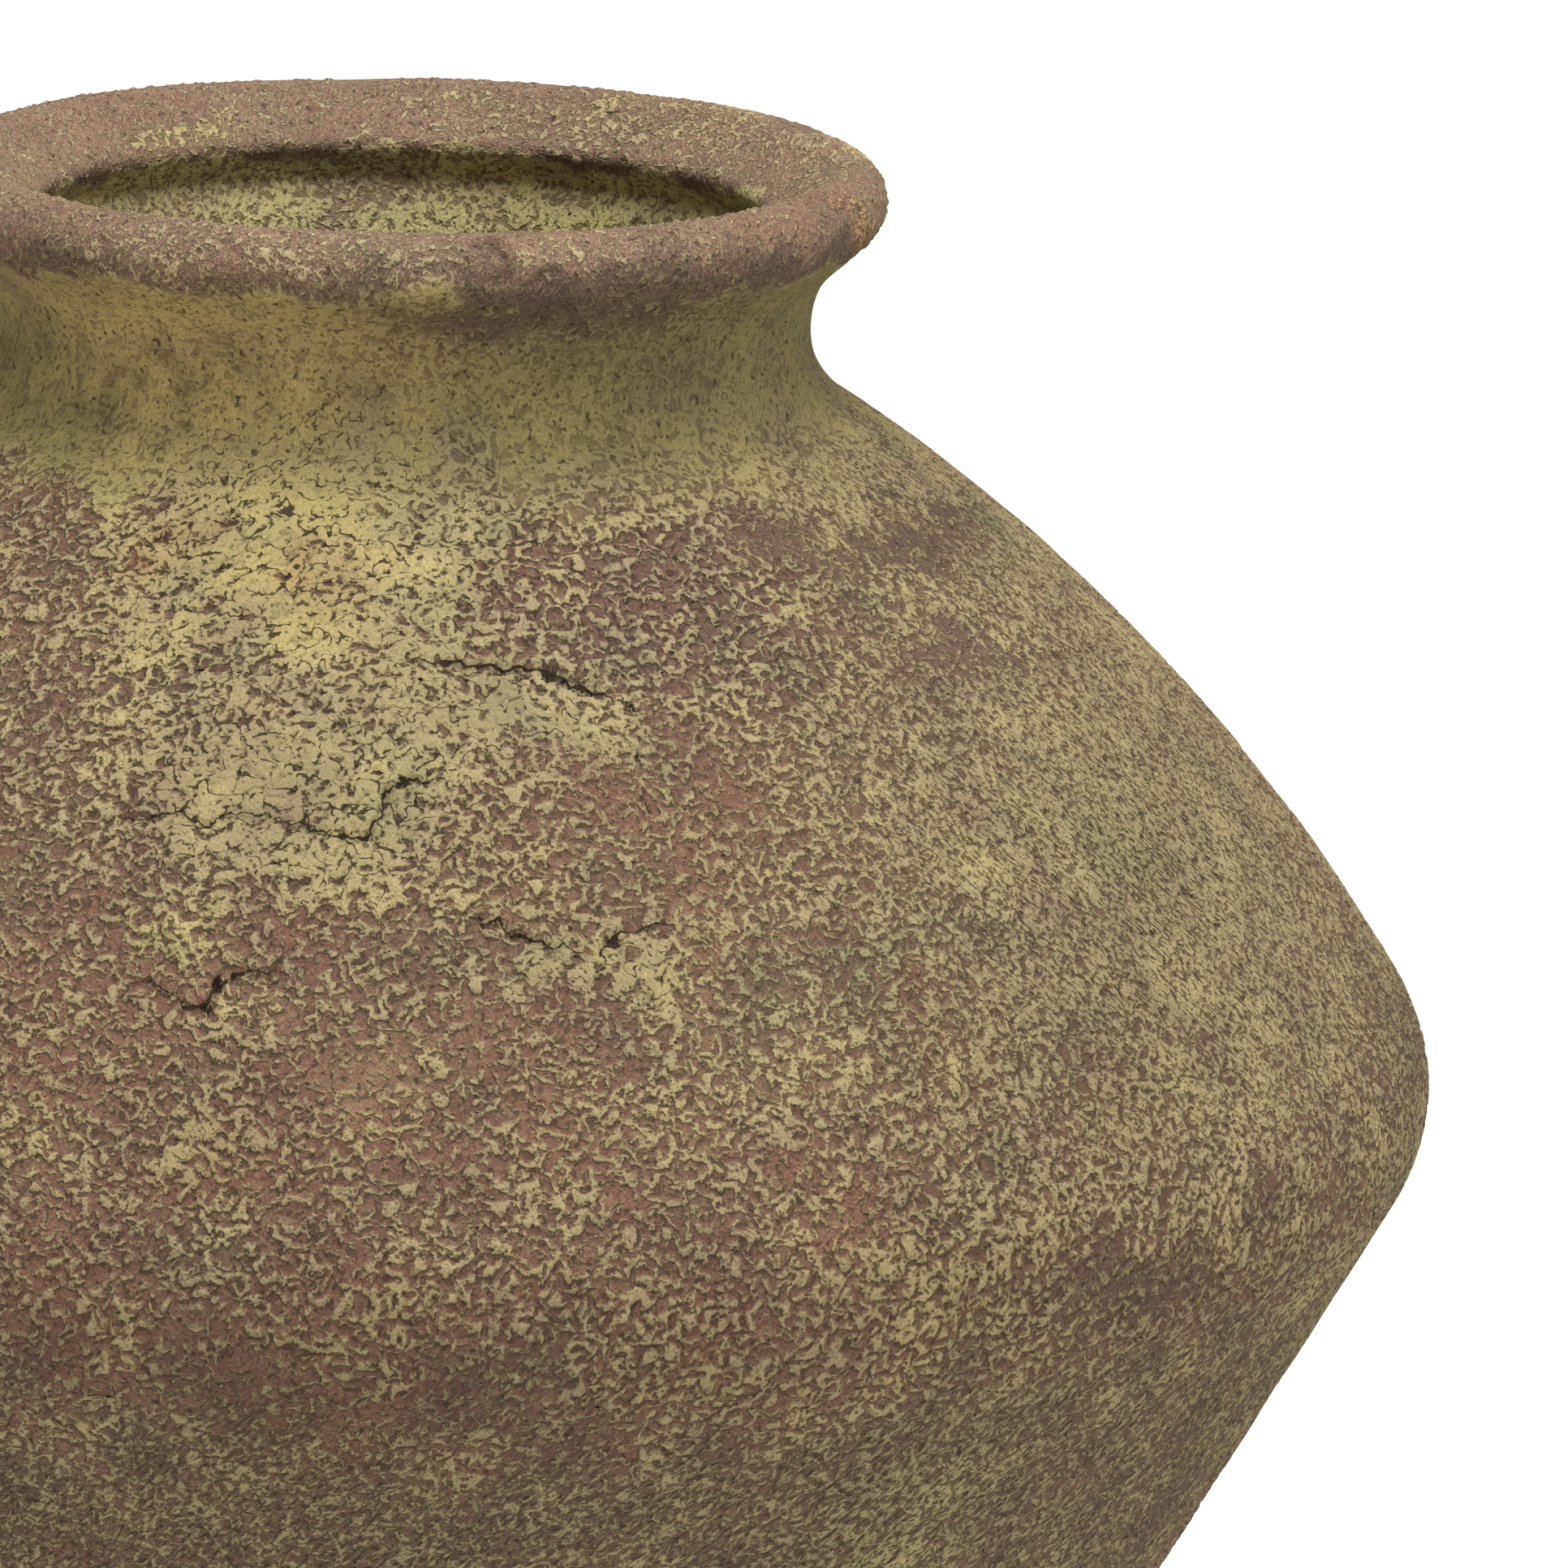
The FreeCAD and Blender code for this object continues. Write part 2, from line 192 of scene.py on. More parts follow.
class Outline:
    """The section of the jar's faces in millimetres, walked from the foot up the outside,
    over the lip and down the inside. A place on it is given by its run, the distance walked."""

    def __init__(self, sizes):
        mm = {name: getattr(sizes, name) / MM for name in sizes.__annotations__}
        flare = sizes.flare_angle
        belly = (mm["belly_radius"] - mm["belly_curve"], mm["belly_level"])
        neck = (mm["neck_radius"] + mm["neck_curve"], mm["belly_level"] + mm["neck_rise"])
        wall = mm["wall"]
        reach = math.hypot(belly[0] - mm["foot_radius"], belly[1])
        slope = (math.atan2(belly[1], belly[0] - mm["foot_radius"])
                 - math.asin(mm["belly_curve"] / reach))
        lean = slope - math.pi / 2
        # Domed shoulder, which touches the belly's bend and the neck's hollow
        belly_reach = mm["shoulder_curve"] - mm["belly_curve"]
        neck_reach = mm["shoulder_curve"] + mm["neck_curve"]
        span = math.dist(belly, neck)
        along = (belly_reach ** 2 - neck_reach ** 2 + span ** 2) / (2 * span)
        across = math.sqrt(belly_reach ** 2 - along ** 2)
        turn = math.atan2(neck[1] - belly[1], neck[0] - belly[0])
        shoulder = (belly[0] + along * math.cos(turn) - across * math.sin(turn),
                    belly[1] + along * math.sin(turn) + across * math.cos(turn))
        belly_turn = math.atan2(belly[1] - shoulder[1], belly[0] - shoulder[0])
        neck_turn = math.atan2(neck[1] - shoulder[1], neck[0] - shoulder[0])
        # Lip
        flare_foot = (neck[0] - mm["neck_curve"] * math.cos(flare),
                      neck[1] + mm["neck_curve"] * math.sin(flare))
        roll_foot = (flare_foot[0] + mm["flare_run"] * math.sin(flare),
                     flare_foot[1] + mm["flare_run"] * math.cos(flare))
        roll = (roll_foot[0] - mm["lip_curve"] * math.cos(flare),
                roll_foot[1] + mm["lip_curve"] * math.sin(flare))
        throat = (mm["neck_radius"] - wall - mm["lip_overhang"] + mm["throat_curve"],
                  roll[1] - mm["throat_drop"])
        lip_turn = (math.pi + math.atan2(mm["throat_drop"], roll[0] - throat[0])
                    - math.acos((mm["lip_curve"] - mm["throat_curve"]) / math.dist(roll, throat)))
        inner_curve = mm["neck_curve"] + wall
        inner_angle = math.pi - math.asin((flare_foot[1] - neck[1]) / inner_curve)
        seam = (neck[0] + inner_curve * math.cos(inner_angle), flare_foot[1])
        undercut = math.atan2(throat[1] - seam[1], throat[0] - seam[0])
        undercut += math.asin(mm["throat_curve"] / math.dist(seam, throat))
        # Base
        rounding = mm["base_rounding"]
        rounding_run = rounding * math.tan(slope / 2)
        edge = (mm["foot_radius"] - rounding_run, rounding)
        base = mm["base_thickness"]
        inner_foot = (mm["foot_radius"] + base / math.tan(slope) - wall / math.sin(slope), base)

        walk = [bend(edge, rounding, -math.pi / 2, lean)]
        belly_outer = bend(belly, mm["belly_curve"], lean, belly_turn)
        walk.append(straight(walk[-1][-1], belly_outer[0]))
        walk.append(belly_outer)
        walk.append(bend(shoulder, mm["shoulder_curve"], belly_turn, neck_turn))
        walk.append(bend(neck, mm["neck_curve"], math.pi + neck_turn, math.pi - flare))
        roll_points = bend(roll, mm["lip_curve"], -flare, lip_turn)
        walk.append(straight(walk[-1][-1], roll_points[0]))
        walk.append(roll_points)
        throat_points = bend(throat, mm["throat_curve"], lip_turn, math.pi / 2 + undercut)
        walk.append(straight(roll_points[-1], throat_points[0]))
        walk.append(throat_points)
        walk.append(straight(throat_points[-1], seam))
        walk.append(bend(neck, inner_curve, inner_angle, math.pi + neck_turn))
        walk.append(bend(shoulder, mm["shoulder_curve"] - wall, neck_turn, belly_turn))
        walk.append(bend(belly, mm["belly_curve"] - wall, belly_turn, lean))
        walk.append(straight(walk[-1][-1], inner_foot))
        walk.append(straight(inner_foot, (0.0, base)))
        points = np.vstack(walk)
        steps = np.hypot(*np.diff(points, axis=0).T)
        points = points[np.r_[True, steps > 1e-6]]
        steps = steps[steps > 1e-6]
        # The run is counted from where the straight wall would meet the floor
        self.run = np.r_[0, np.cumsum(steps)] - (rounding * (lean + math.pi / 2) - rounding_run)
        self.points = points
        ahead = np.gradient(points, axis=0)
        ahead /= np.linalg.norm(ahead, axis=1, keepdims=True)
        self.outward = np.stack([ahead[:, 1], -ahead[:, 0]], 1)
        self.crest = int(np.argmax(points[:, 1]))
        self.floor_run = self.run[-1] - inner_foot[0]
        self.edge_radius = edge[0]

    def at(self, run):
        """Radius, height and outward direction at places given by their run."""
        radius = np.interp(run, self.run, self.points[:, 0])
        level = np.interp(run, self.run, self.points[:, 1])
        out = np.stack([np.interp(run, self.run, self.outward[:, i]) for i in (0, 1)], -1)
        out /= np.linalg.norm(out, axis=-1, keepdims=True)
        return radius, level, out

    def outside(self, level):
        """Run of the place on the outside at a height in millimetres."""
        return np.interp(level, self.points[:self.crest, 1], self.run[:self.crest])

    def inside(self, level):
        """Run of the place on the inside at a height in millimetres."""
        stop = np.searchsorted(self.run, self.floor_run)
        return np.interp(-level, -self.points[self.crest:stop, 1], self.run[self.crest:stop])


# Noise that the crust grows from

# The render engine's scale for its gradient noise, and the spread that it then has, by which it is
# brought to a spread of one
NOISE_SCALE, NOISE_SPREAD = 0.982, 0.264
# Where the render engine's hash starts, and its turns: which number changes, by which, and by how
# many bits that one is rolled
HASH_START = np.uint32((0xdeadbeef + (3 << 2) + 13) & 0xffffffff)
HASH_TURNS = (("c", "b", 14), ("a", "c", 11), ("b", "a", 25), ("c", "b", 16), ("a", "c", 4),
              ("b", "a", 14), ("c", "b", 24))


def hashed(x, y, z):
    """The render engine's hash of a cell of its noise."""
    parts = {"a": x + HASH_START, "b": y + HASH_START, "c": z + HASH_START}
    for changed, other, turn in HASH_TURNS:
        value = parts[other]
        rolled = (value << np.uint32(turn)) | (value >> np.uint32(32 - turn))
        parts[changed] = (parts[changed] ^ value) - rolled
    return parts["c"]


def noise(place, size, shift=0.0):
    """The noise of the finishes, worked out for the mesh, so that relief and colour agree."""
    spot = place / size + shift
    low = np.floor(spot)
    part = spot - low
    cell = (low.astype(np.int64) & 0xffffffff).astype(np.uint32)
    curve = part ** 3 * (part * (part * 6 - 15) + 10)
    total = 0
    for corner in range(8):
        step = np.array([corner >> 2, corner >> 1 & 1, corner & 1])
        weight = np.where(step, curve, 1 - curve).prod(-1)
        x, y, z = np.moveaxis(part - step, -1, 0)
        pick = hashed(*np.moveaxis(cell + step.astype(np.uint32), -1, 0)) & np.uint32(15)
        first = np.where(pick < 8, x, y)
        second = np.where(pick < 4, y, np.where((pick == 12) | (pick == 14), x, z))
        total = total + weight * (np.where(pick & 1, -first, first)
                                  + np.where(pick & 2, -second, second))
    return NOISE_SCALE * total / NOISE_SPREAD


# Cell size in millimetres and shift of each noise that both the mesh and the finishes read
WARPS = ((3.4, 5.2), (3.4, 9.7), (3.4, 14.1))
WARP_REACH = 0.5
WORMS = (1.62, 0.0)
WINDING = (2.5, 21.0)
LUMPS = (1.1, 8.0)
SPLITS = (2.6, 44.0)
GRIT, DUST, SPREAD, HOLES = (0.62, 2.0), (0.30, 6.0), (1.9, 31.0), (1.15, 60.0)
# The same for noise slow enough to tell one part of the jar from another
SLOW_A, SLOW_B, SLOWEST, MIDDLE = (15.0, 3.1), (15.0, 23.7), (46.0, 7.3), (5.5, 3.3)
# Length, width and shift of the slits and of the finer streaks between them, in millimetres, and how
# they lean in degrees on the lower wall and neck, and on the shoulder
SLITS, STREAKS = (2.1, 0.62, 3.1), (2.4, 0.50, 9.1)
LEAN_LOWER, LEAN_SHOULDER = -48, 57
# Worms and winding ridges make the coarse crust, and lumps the fine one
PATTERN_LEVEL, WORM_SHARE, WINDING_SHARE = 0.41, 0.75, 0.83
COARSE_LOSS, LUMP_BASE, LUMP_GAIN = 0.7, 0.06, 0.7
# How far above a place, in millimetres, the finish looks for crust that overhangs it and paints the shadow
# that this crust casts
LOOK_UP = 0.5
# Noise that makes the cracks jagged, and how far it moves them in millimetres
JAGS_ACROSS, JAGS_UP = (2.4, 17.0), (2.4, 35.0)
JAG_REACH = 0.6


def ease(values, low, high):
    """Rises smoothly from 0 at low to 1 at high."""
    share = np.clip((values - low) / (high - low), 0, 1)
    return share * share * (3 - 2 * share)


def mixed(first, second, share):
    return first * (1 - share) + second * share


# Where the jar is weathered how, and where light and shade are painted on it

# What a zone or patch may set. Each has the value given here where none reaches.
# dark darkens a place's colours, and lightens them below nought. Besides the clay's own tone it holds
# painted shade below the lip and painted light on the rim and in the throat.
CHANNELS = {"cover": 0.52, "plate": 0.0, "fine": 0.35, "smooth": 0.0, "slit": 0.1, "yellow": 0.3,
            "green": 0.05, "orange": 0.0, "red": 0.5, "mauve": 0.1, "dark": 0.0, "lift": 0.0,
            "speck": 0.35}

# Patches in the order in which they lie on each other: degrees to the right of the front, run in
# millimetres up the outline, half the width, half the height, lean in degrees, and what they set.
PATCHES = (
    (60, 302, 80, 62, 0, dict(cover=0.98, fine=0.9, slit=1.0, yellow=0.3, green=0.2, red=0.5,
                              dark=0.15)),
    (78, 384, 52, 30, 0, dict(cover=0.9, fine=0.85, slit=0.8, yellow=0.3, dark=0.14)),
    (26, 377, 37, 28, 0, dict(cover=0.59, fine=0.1, red=0.4, mauve=0.5, yellow=0.2)),
    (24, 386, 24, 9, 0, dict(cover=0.52, red=0.6)),
    (22, 331, 28, 19, 0, dict(cover=0.44, fine=0.35, red=0.85, dark=0.06)),
    (27, 287, 28, 24, 0, dict(cover=0.6, fine=0.5, green=0.2)),
    (-5, 333, 29, 18, 0, dict(cover=1.1, plate=0.9, yellow=0.35, green=0.2, dark=0.18)),
    (-11, 387, 29, 28, 0, dict(cover=1.24, plate=1.0, yellow=0.8, red=0.2, dark=0.06)),
    (6, 384, 13, 28, 14, dict(cover=0.86, plate=0.5, green=0.4, yellow=0.25, dark=0.12)),
    (-22, 385, 5, 6, 0, dict(cover=0.5, red=1.0, orange=0.3, lift=-0.5)),
    (-7, 384, 12, 10, 0, dict(cover=0.86, orange=0.25, red=0.7)),
    (12.5, 351, 19, 8, -12, dict(cover=1.1, plate=0.7, smooth=0.4, green=0.25, yellow=0.25, dark=0.26)),
    (-3, 256, 46, 42, 0, dict(cover=0.5, fine=0.3, red=0.85, mauve=0.15, yellow=0.25, dark=0.12)),
    (1, 280, 9.5, 5, 0, dict(cover=0.1, smooth=0.3, red=1.0, lift=-0.6)),
    (8, 282, 5, 5, 0, dict(cover=0.1, smooth=0.3, red=1.0, lift=-0.6)),
    (-8, 264, 11, 8, 0, dict(cover=0.8, plate=0.3, yellow=0.6)),
    (0, 338, 7, 12, 0, dict(green=0.6, plate=0.8)),
    (-12, 305, 6, 6, 0, dict(green=0.6, yellow=0.8, cover=0.8)),
    (14, 234, 60, 28, 0, dict(cover=0.55, fine=0.35, red=0.75, mauve=0.15, dark=0.1)),
    (-4, 219, 28, 13, 0, dict(cover=0.35, fine=0.4, red=0.9, mauve=0.4, dark=0.28)),
    (50, 274, 40, 22, 0, dict(dark=0.24)),
    (35, 238, 30, 14, 0, dict(cover=0.68, yellow=0.4, fine=0.4, dark=0.16)),
    (26.5, 249, 9, 7, 0, dict(cover=0.3, red=0.9, orange=0.3)),
    (46, 225, 32, 8, -5, dict(cover=0.38, mauve=1.0, fine=0.55, dark=0.38)),
    (84, 246, 36, 24, 0, dict(cover=0.6, mauve=0.7, fine=0.75, dark=0.26, slit=0.6)),
    (59, 301, 18, 11, 0, dict(green=0.5)),
    (35, 287, 7, 7, 0, dict(cover=0.48, red=0.9)),
    (62, 379, 36, 7, -8, dict(cover=0.25, mauve=1.0, fine=0.7, dark=0.4)),
    (58, 352, 22, 6, -6, dict(cover=0.35, mauve=0.8, dark=0.1)),
    (15, 297, 15, 14, 0, dict(lift=-0.8)),
    (17, 297, 5, 8, 0, dict(cover=1.1, plate=0.6, smooth=0.4, yellow=0.5, dark=0.16, lift=0.1)),
    (11.5, 296, 5, 6, 0, dict(cover=1.1, plate=0.6, smooth=0.4, green=0.3, yellow=0.5,
                              dark=0.16, lift=-0.1)),
    (-26, 432, 52, 16, 0, dict(cover=0.85, orange=0.3, yellow=0.9, green=0.0, mauve=0.0, dark=-0.28)),
    (21, 422, 20, 6, 0, dict(yellow=1.0)),
    (56, 422, 22, 10, 0, dict(yellow=0.6)),
    # Painted shade below the lip, over a mauve stain
    (21, 442, 32, 10, 0, dict(cover=0.14, smooth=0.15, fine=0.3, mauve=1.0, yellow=0.1, dark=0.5)),
    (15, 454, 6, 2.4, 0, dict(lift=-0.9, cover=0.1, red=0.6, dark=0.3)),
    (49, 457, 22, 5, 0, dict(cover=0.25, red=1.0, orange=0.2)),
    (19, 454, 19, 5, 0, dict(cover=0.28, red=0.9)),
    (73, 454, 9, 4, 0, dict(cover=0.8, orange=0.7)),
    # Painted light on the lip's outer face
    (-18, 457, 34, 8, 0, dict(cover=0.5, red=0.6, dark=-0.42)),
    (101, 471, 11, 5, 0, dict(cover=0.3, red=1.0)),
    (150, 474, 34, 6, 0, dict(cover=0.66, yellow=0.25)),
    # Painted light on the top of the lip, towards the back
    (108, 467, 34, 8, 0, dict(cover=0.58, yellow=0.0, dark=-0.5)),
    # Painted light inside the throat, which lies in shade
    (178, 495, 60, 4, 0, dict(cover=0.6, mauve=0.5, green=0.1, yellow=0.2, dark=-1.0)),
    (158, 508, 22, 9, 0, dict(cover=0.9, yellow=1.0, green=0.4)),
    (-143, 480, 14, 5, 0, dict(cover=0.8, yellow=0.8)),
)

# What the patches of the lower wall set
LOWER_WALL_KINDS = (
    dict(cover=0.85, yellow=0.6, dark=0.08), dict(cover=0.4, mauve=0.8, dark=0.25),
    dict(cover=0.42, red=0.9, dark=0.12), dict(cover=0.75, green=0.5, dark=0.12),
    dict(cover=0.7, fine=0.3, dark=0.05))

# Cracks and scarps: points as (degrees, run), how far the clay below lies back as a share of
# SCARP_DROP, depth of the crack and half its width in millimetres.
SCARS = (
    (((2.8, 363), (6.8, 363), (11, 361.7), (13.8, 361.5), (16.2, 358.9), (20, 354), (22.4, 349.8)),
     0.45, 0.9, 0.38),
    (((-6.5, 328), (-4, 326), (-1.8, 324.6), (0.2, 326), (1, 328.8), (1.2, 334.4), (2.2, 337.2),
      (3.8, 336.5), (6.2, 335.8)), 0.5, 0.7, 0.3),
    (((-18, 324), (-16.2, 326), (-14, 327.4), (-11, 326), (-8.8, 328.8), (-6.5, 328)),
     0.3, 0.5, 0.2),
    (((6.5, 309.2), (8, 307.8), (9.5, 305.7), (11, 303.6), (12.5, 302.9), (13.8, 300.8)),
     0.4, 0.6, 0.28),
    (((14.6, 296), (15.2, 300.8), (16.8, 304.6), (18.5, 305.7), (20, 305.6)), 0.1, 0.7, 0.3),
    (((-13.5, 293), (-12, 291.7), (-9.5, 287.5), (-9, 293.8), (-7.8, 296.6), (-5.8, 295.9),
      (-5, 298.7)), 0.45, 0.6, 0.26),
    (((20.5, 342.2), (20.8, 338.6)), 0.0, 0.8, 0.3),
    (((20.2, 332.4), (20.5, 328.8)), 0.0, 0.8, 0.3),
    (((62.4, 294.6), (62.7, 292.4)), 0.0, 0.8, 0.4),
    (((70.4, 221), (73, 215), (75, 213)), 0.2, 0.9, 0.4),
)

# How far the clay lies back at a scarp, how far below it that dies away, and how wide the hollow of
# a crack is to each side, all in millimetres
SCARP_DROP, SCARP_REACH, CRACK_SIDE = 2.7, 4.5, 0.75
# How far from a scar's first point it is looked for, across and up, and the distance at places
# that have none near, all in millimetres
SCAR_ACROSS, SCAR_UP, NO_SCAR = 45, 40, 9.0

# Share of the ridges' height that is lost where the crust is fine, and where it is smooth
FINE_FLATTENS, SMOOTH_FLATTENS = 0.72, 0.8
# How much more crust the cover and plate channels make, and what the middling noise adds to that
COVER_GAIN, PLATE_GAIN, MIDDLE_GAIN = 2.4, 0.5, 0.05
# Depth of the valleys between plates in millimetres, and how wide they are in the noise's units
VALLEY_DEPTH, VALLEY_WIDTH = 0.4, 0.75
# The least depth in millimetres of anything under the outline
LEAST_DEPTH = 0.03
# Runs in millimetres at which one zone of the jar ends and the next starts
LOWER_WALL_END, NECK_START, RIM_START, RIM_END, INNER_NECK_END = 211.0, 405.0, 446.0, 487.0, 530.0
# How many of the patches lie on the belly and the shoulder
BODY_PATCHES = 28
# Patches added on the belly and shoulder where the photograph doesn't show them, and all round the
# lower wall: how many, and the limits of their degrees, run, half width, half height and lean
UNSEEN_BODY = (46, (104, 310), (215, 400), (10, 36), (7, 26), (-15, 15))
UNSEEN_WALL = (40, (-180, 180), (20, 180), (12, 40), (8, 24), (-50, -20))
# How far a slow and a middling noise carry a patch's edge sideways and up, in millimetres, and how
# sharply the patch ends
EDGE_ACROSS, EDGE_UP, EDGE_POWER = (3.4, 2.2), (2.6, 1.8), 1.1
# Radius in millimetres by which the Surface UV map turns degrees into lengths
SURFACE_RADIUS = 180.0
# Turns in radians that set the cells of the noise askew to the jar, so that no face runs along them
NOISE_TURN = (0.6, 0.8, 0.5)


class Weather:
    """Works out relief, colours with their painted light and shade, and wear at places on the jar's faces.
    """

    def __init__(self, crust, colours):
        rng = np.random.default_rng(crust.seed)
        self.crust, self.colours = crust, colours
        self.turn = np.array(Euler(NOISE_TURN).to_matrix())
        self.shift = rng.uniform(-50, 50, 3)
        self.patches = PATCHES + self.unseen_patches(rng)

    def unseen_patches(self, rng):
        """More patches of the same kinds on the sides that the photograph doesn't show."""
        body_kinds = [values for *_, values in PATCHES[:BODY_PATCHES]]
        extra = []
        for (count, *limits), kinds in ((UNSEEN_BODY, body_kinds), (UNSEEN_WALL, LOWER_WALL_KINDS)):
            for _ in range(count):
                azimuth, *spread = [rng.uniform(*pair) for pair in limits]
                extra.append((azimuth if azimuth < 180 else azimuth - 360, *spread,
                              kinds[rng.integers(len(kinds))]))
        return tuple(extra)

    def channels(self, degrees, run, radius, slow_a, slow_b, slowest, middle):
        """Values of every channel, from the zones of the jar and the patches on them."""
        values = {name: np.full(run.shape, float(base)) for name, base in CHANNELS.items()}

        def set_zone(share, **targets):
            for name, target in targets.items():
                values[name] = mixed(values[name], target, share)

        edge = run + 2.2 * slow_a + 0.8 * middle
        outside = run < (RIM_START + RIM_END) / 2
        ragged = edge + 5.0 * slow_b + 5.0 * slowest
        lower = (1 - ease(ragged, LOWER_WALL_END - 15, LOWER_WALL_END + 11)) * outside
        set_zone(lower, cover=0.6, fine=0.7, slit=-0.8, dark=0.22, yellow=0.25, red=0.4, mauve=0.35)
        # The neck's dark is partly its own tone, partly painted shade below the overhanging lip
        neck = ease(edge + 2.5 * slow_b, NECK_START - 15, NECK_START + 12)
        set_zone(neck, smooth=0.92, cover=0.84, fine=0.6, slit=-0.12, yellow=0.95, green=0.1, red=0.5,
                 dark=0.64)
        # The rim's negative dark is painted light on the lip
        rim = ease(edge, RIM_START - 2, RIM_START + 2) * (1 - ease(edge, RIM_END - 2, RIM_END + 2))
        set_zone(rim, smooth=0.0, cover=0.26, fine=0.7, slit=-0.3, yellow=0.0, red=0.7, mauve=0.5,
                 speck=1.0, dark=-0.26)
        # Painted shade under the lip's roll, over a mauve stain
        underside = (ease(edge, RIM_START - 3, RIM_START + 1)
                     * (1 - ease(edge, RIM_START + 4, RIM_START + 9)))
        set_zone(underside, dark=0.3, mauve=0.8)
        # The throat's negative dark is painted light inside the neck, which lies in shade
        throat = ease(edge, RIM_END - 2, RIM_END + 3)
        set_zone(throat, smooth=0.4, cover=0.86, green=0.5, yellow=0.4, red=0.4, mauve=0.1,
                 dark=-1.0, slit=-0.3)
        deep = ease(run, INNER_NECK_END, INNER_NECK_END + 50)
        set_zone(deep, cover=0.5, green=0.1, dark=0.0)
        for azimuth, level, half_width, half_height, tilt, targets in self.patches:
            away = (degrees - azimuth + 180) % 360 - 180
            x = np.radians(away) * radius + EDGE_ACROSS[0] * slow_a + EDGE_ACROSS[1] * middle
            y = run - level + EDGE_UP[0] * slow_b + EDGE_UP[1] * middle
            lean = math.radians(tilt)
            across = (x * math.cos(lean) + y * math.sin(lean)) / half_width
            along = (y * math.cos(lean) - x * math.sin(lean)) / half_height
            share = np.exp(-(across ** 2 + along ** 2) ** EDGE_POWER)
            if share.max() > 0.01:
                set_zone(share, **targets)
        values["cover"] += 0.03 * slow_b
        values["red"] = np.clip(values["red"] + 0.15 * slow_a, 0, 1)
        values["yellow"] = np.clip(values["yellow"] + 0.11 * slow_b + 0.03 * middle, 0, 1)
        values["green"] = np.clip(values["green"] + 0.10 * slow_a * slow_b, 0, 1)
        return values

    def scars(self, degrees, run, radius, place):
        """Signed distance to the nearest scar, its half width, and the relief it makes."""
        nearest = np.full(run.shape, NO_SCAR)
        width = np.zeros(run.shape)
        relief = np.zeros(run.shape)
        for points, drop, depth, half_width in SCARS:
            middle = sum(p[0] for p in points) / len(points)
            away = np.radians((degrees - middle + 180) % 360 - 180) * radius
            near = (np.abs(away) < SCAR_ACROSS) & (np.abs(run - points[0][1]) < SCAR_UP)
            if not near.any():
                continue
            scale = float(np.mean(radius[near]))
            x = (np.radians((degrees[near] - middle + 180) % 360 - 180) * scale
                 + JAG_REACH * noise(place[near], *JAGS_ACROSS))
            y = run[near] + JAG_REACH * noise(place[near], *JAGS_UP)
            best = np.full(x.shape, 99.0)
            side = np.ones(x.shape)
            fade = np.zeros(x.shape)
            count = len(points) - 1
            for index in range(count):
                ax, ay = math.radians(points[index][0] - middle) * scale, points[index][1]
                bx, by = math.radians(points[index + 1][0] - middle) * scale, points[index + 1][1]
                dx, dy = bx - ax, by - ay
                share = np.clip(((x - ax) * dx + (y - ay) * dy) / (dx * dx + dy * dy), 0, 1)
                gap = np.hypot(x - ax - share * dx, y - ay - share * dy)
                closer = gap < best
                best = np.where(closer, gap, best)
                side = np.where(closer, np.sign(dx * (y - ay) - dy * (x - ax)), side)
                walked = (index + share) / count
                fade = np.where(closer, np.sin(math.pi * np.clip(walked, 0.02, 0.98)) ** 0.5, fade)
            shape = -SCARP_DROP * drop * fade * (side < 0) * np.exp(-best / SCARP_REACH)
            shape -= depth * fade * np.exp(-(best / CRACK_SIDE) ** 2)
            relief[near] += shape
            closer = best < np.abs(nearest[near])
            nearest[near] = np.where(closer, best * side, nearest[near])
            width[near] = np.where(closer, half_width * fade, width[near])
        return nearest, width, relief

    def colour(self, name):
        return np.array(getattr(self.colours, name)[:])

    def at(self, degrees, run, radius, level, out):
        """Everything at places given as arrays; lengths are in millimetres."""
        angle = np.radians(degrees)
        around, ahead = np.sin(angle), -np.cos(angle)
        place = np.stack([radius * around, radius * ahead, level], -1) @ self.turn.T + self.shift
        upward = np.stack([-out[..., 1] * around, -out[..., 1] * ahead, out[..., 0]],
                          -1) @ self.turn.T
        slow_a, slow_b = noise(place, *SLOW_A), noise(place, *SLOW_B)
        slowest, middle = noise(place, *SLOWEST), noise(place, *MIDDLE)
        value = self.channels(degrees, run, radius, slow_a, slow_b, slowest, middle)
        fine, smooth = value["fine"], value["smooth"]
        bent = place + WARP_REACH * np.stack([noise(place, *warp) for warp in WARPS], -1)
        pattern = (PATTERN_LEVEL + WORM_SHARE * noise(bent, *WORMS)
                   - WINDING_SHARE * np.abs(noise(bent, *WINDING)))
        bias = (COVER_GAIN * (value["cover"] - 0.5) + PLATE_GAIN * value["plate"]
                + MIDDLE_GAIN * middle)
        growth = ((1 - COARSE_LOSS * fine) * pattern
                  + (LUMP_BASE + LUMP_GAIN * fine) * noise(bent, *LUMPS) + bias)
        scar, scar_width, scar_relief = self.scars(degrees, run, radius, place)
        tall = (self.crust.ridge_height / MM * (1 - FINE_FLATTENS * fine)
                * (1 - SMOOTH_FLATTENS * smooth))
        relief = -self.crust.clay_depth / MM - tall * (1 - ease(growth, -0.3, 0.7))
        split = np.abs(noise(bent, *SPLITS))
        relief -= VALLEY_DEPTH * value["plate"] * (1 - ease(split, 0.0, VALLEY_WIDTH))
        relief += self.crust.sway / MM * (0.6 * slow_a + 0.6 * slowest)
        relief += scar_relief + value["lift"]
        relief = np.minimum(relief, -LEAST_DEPTH)
        clay = mixed(self.colour("clay_brown"), self.colour("clay_red"), value["red"][..., None])
        clay = mixed(clay, self.colour("clay_mauve"), np.clip(value["mauve"], 0, 1)[..., None])
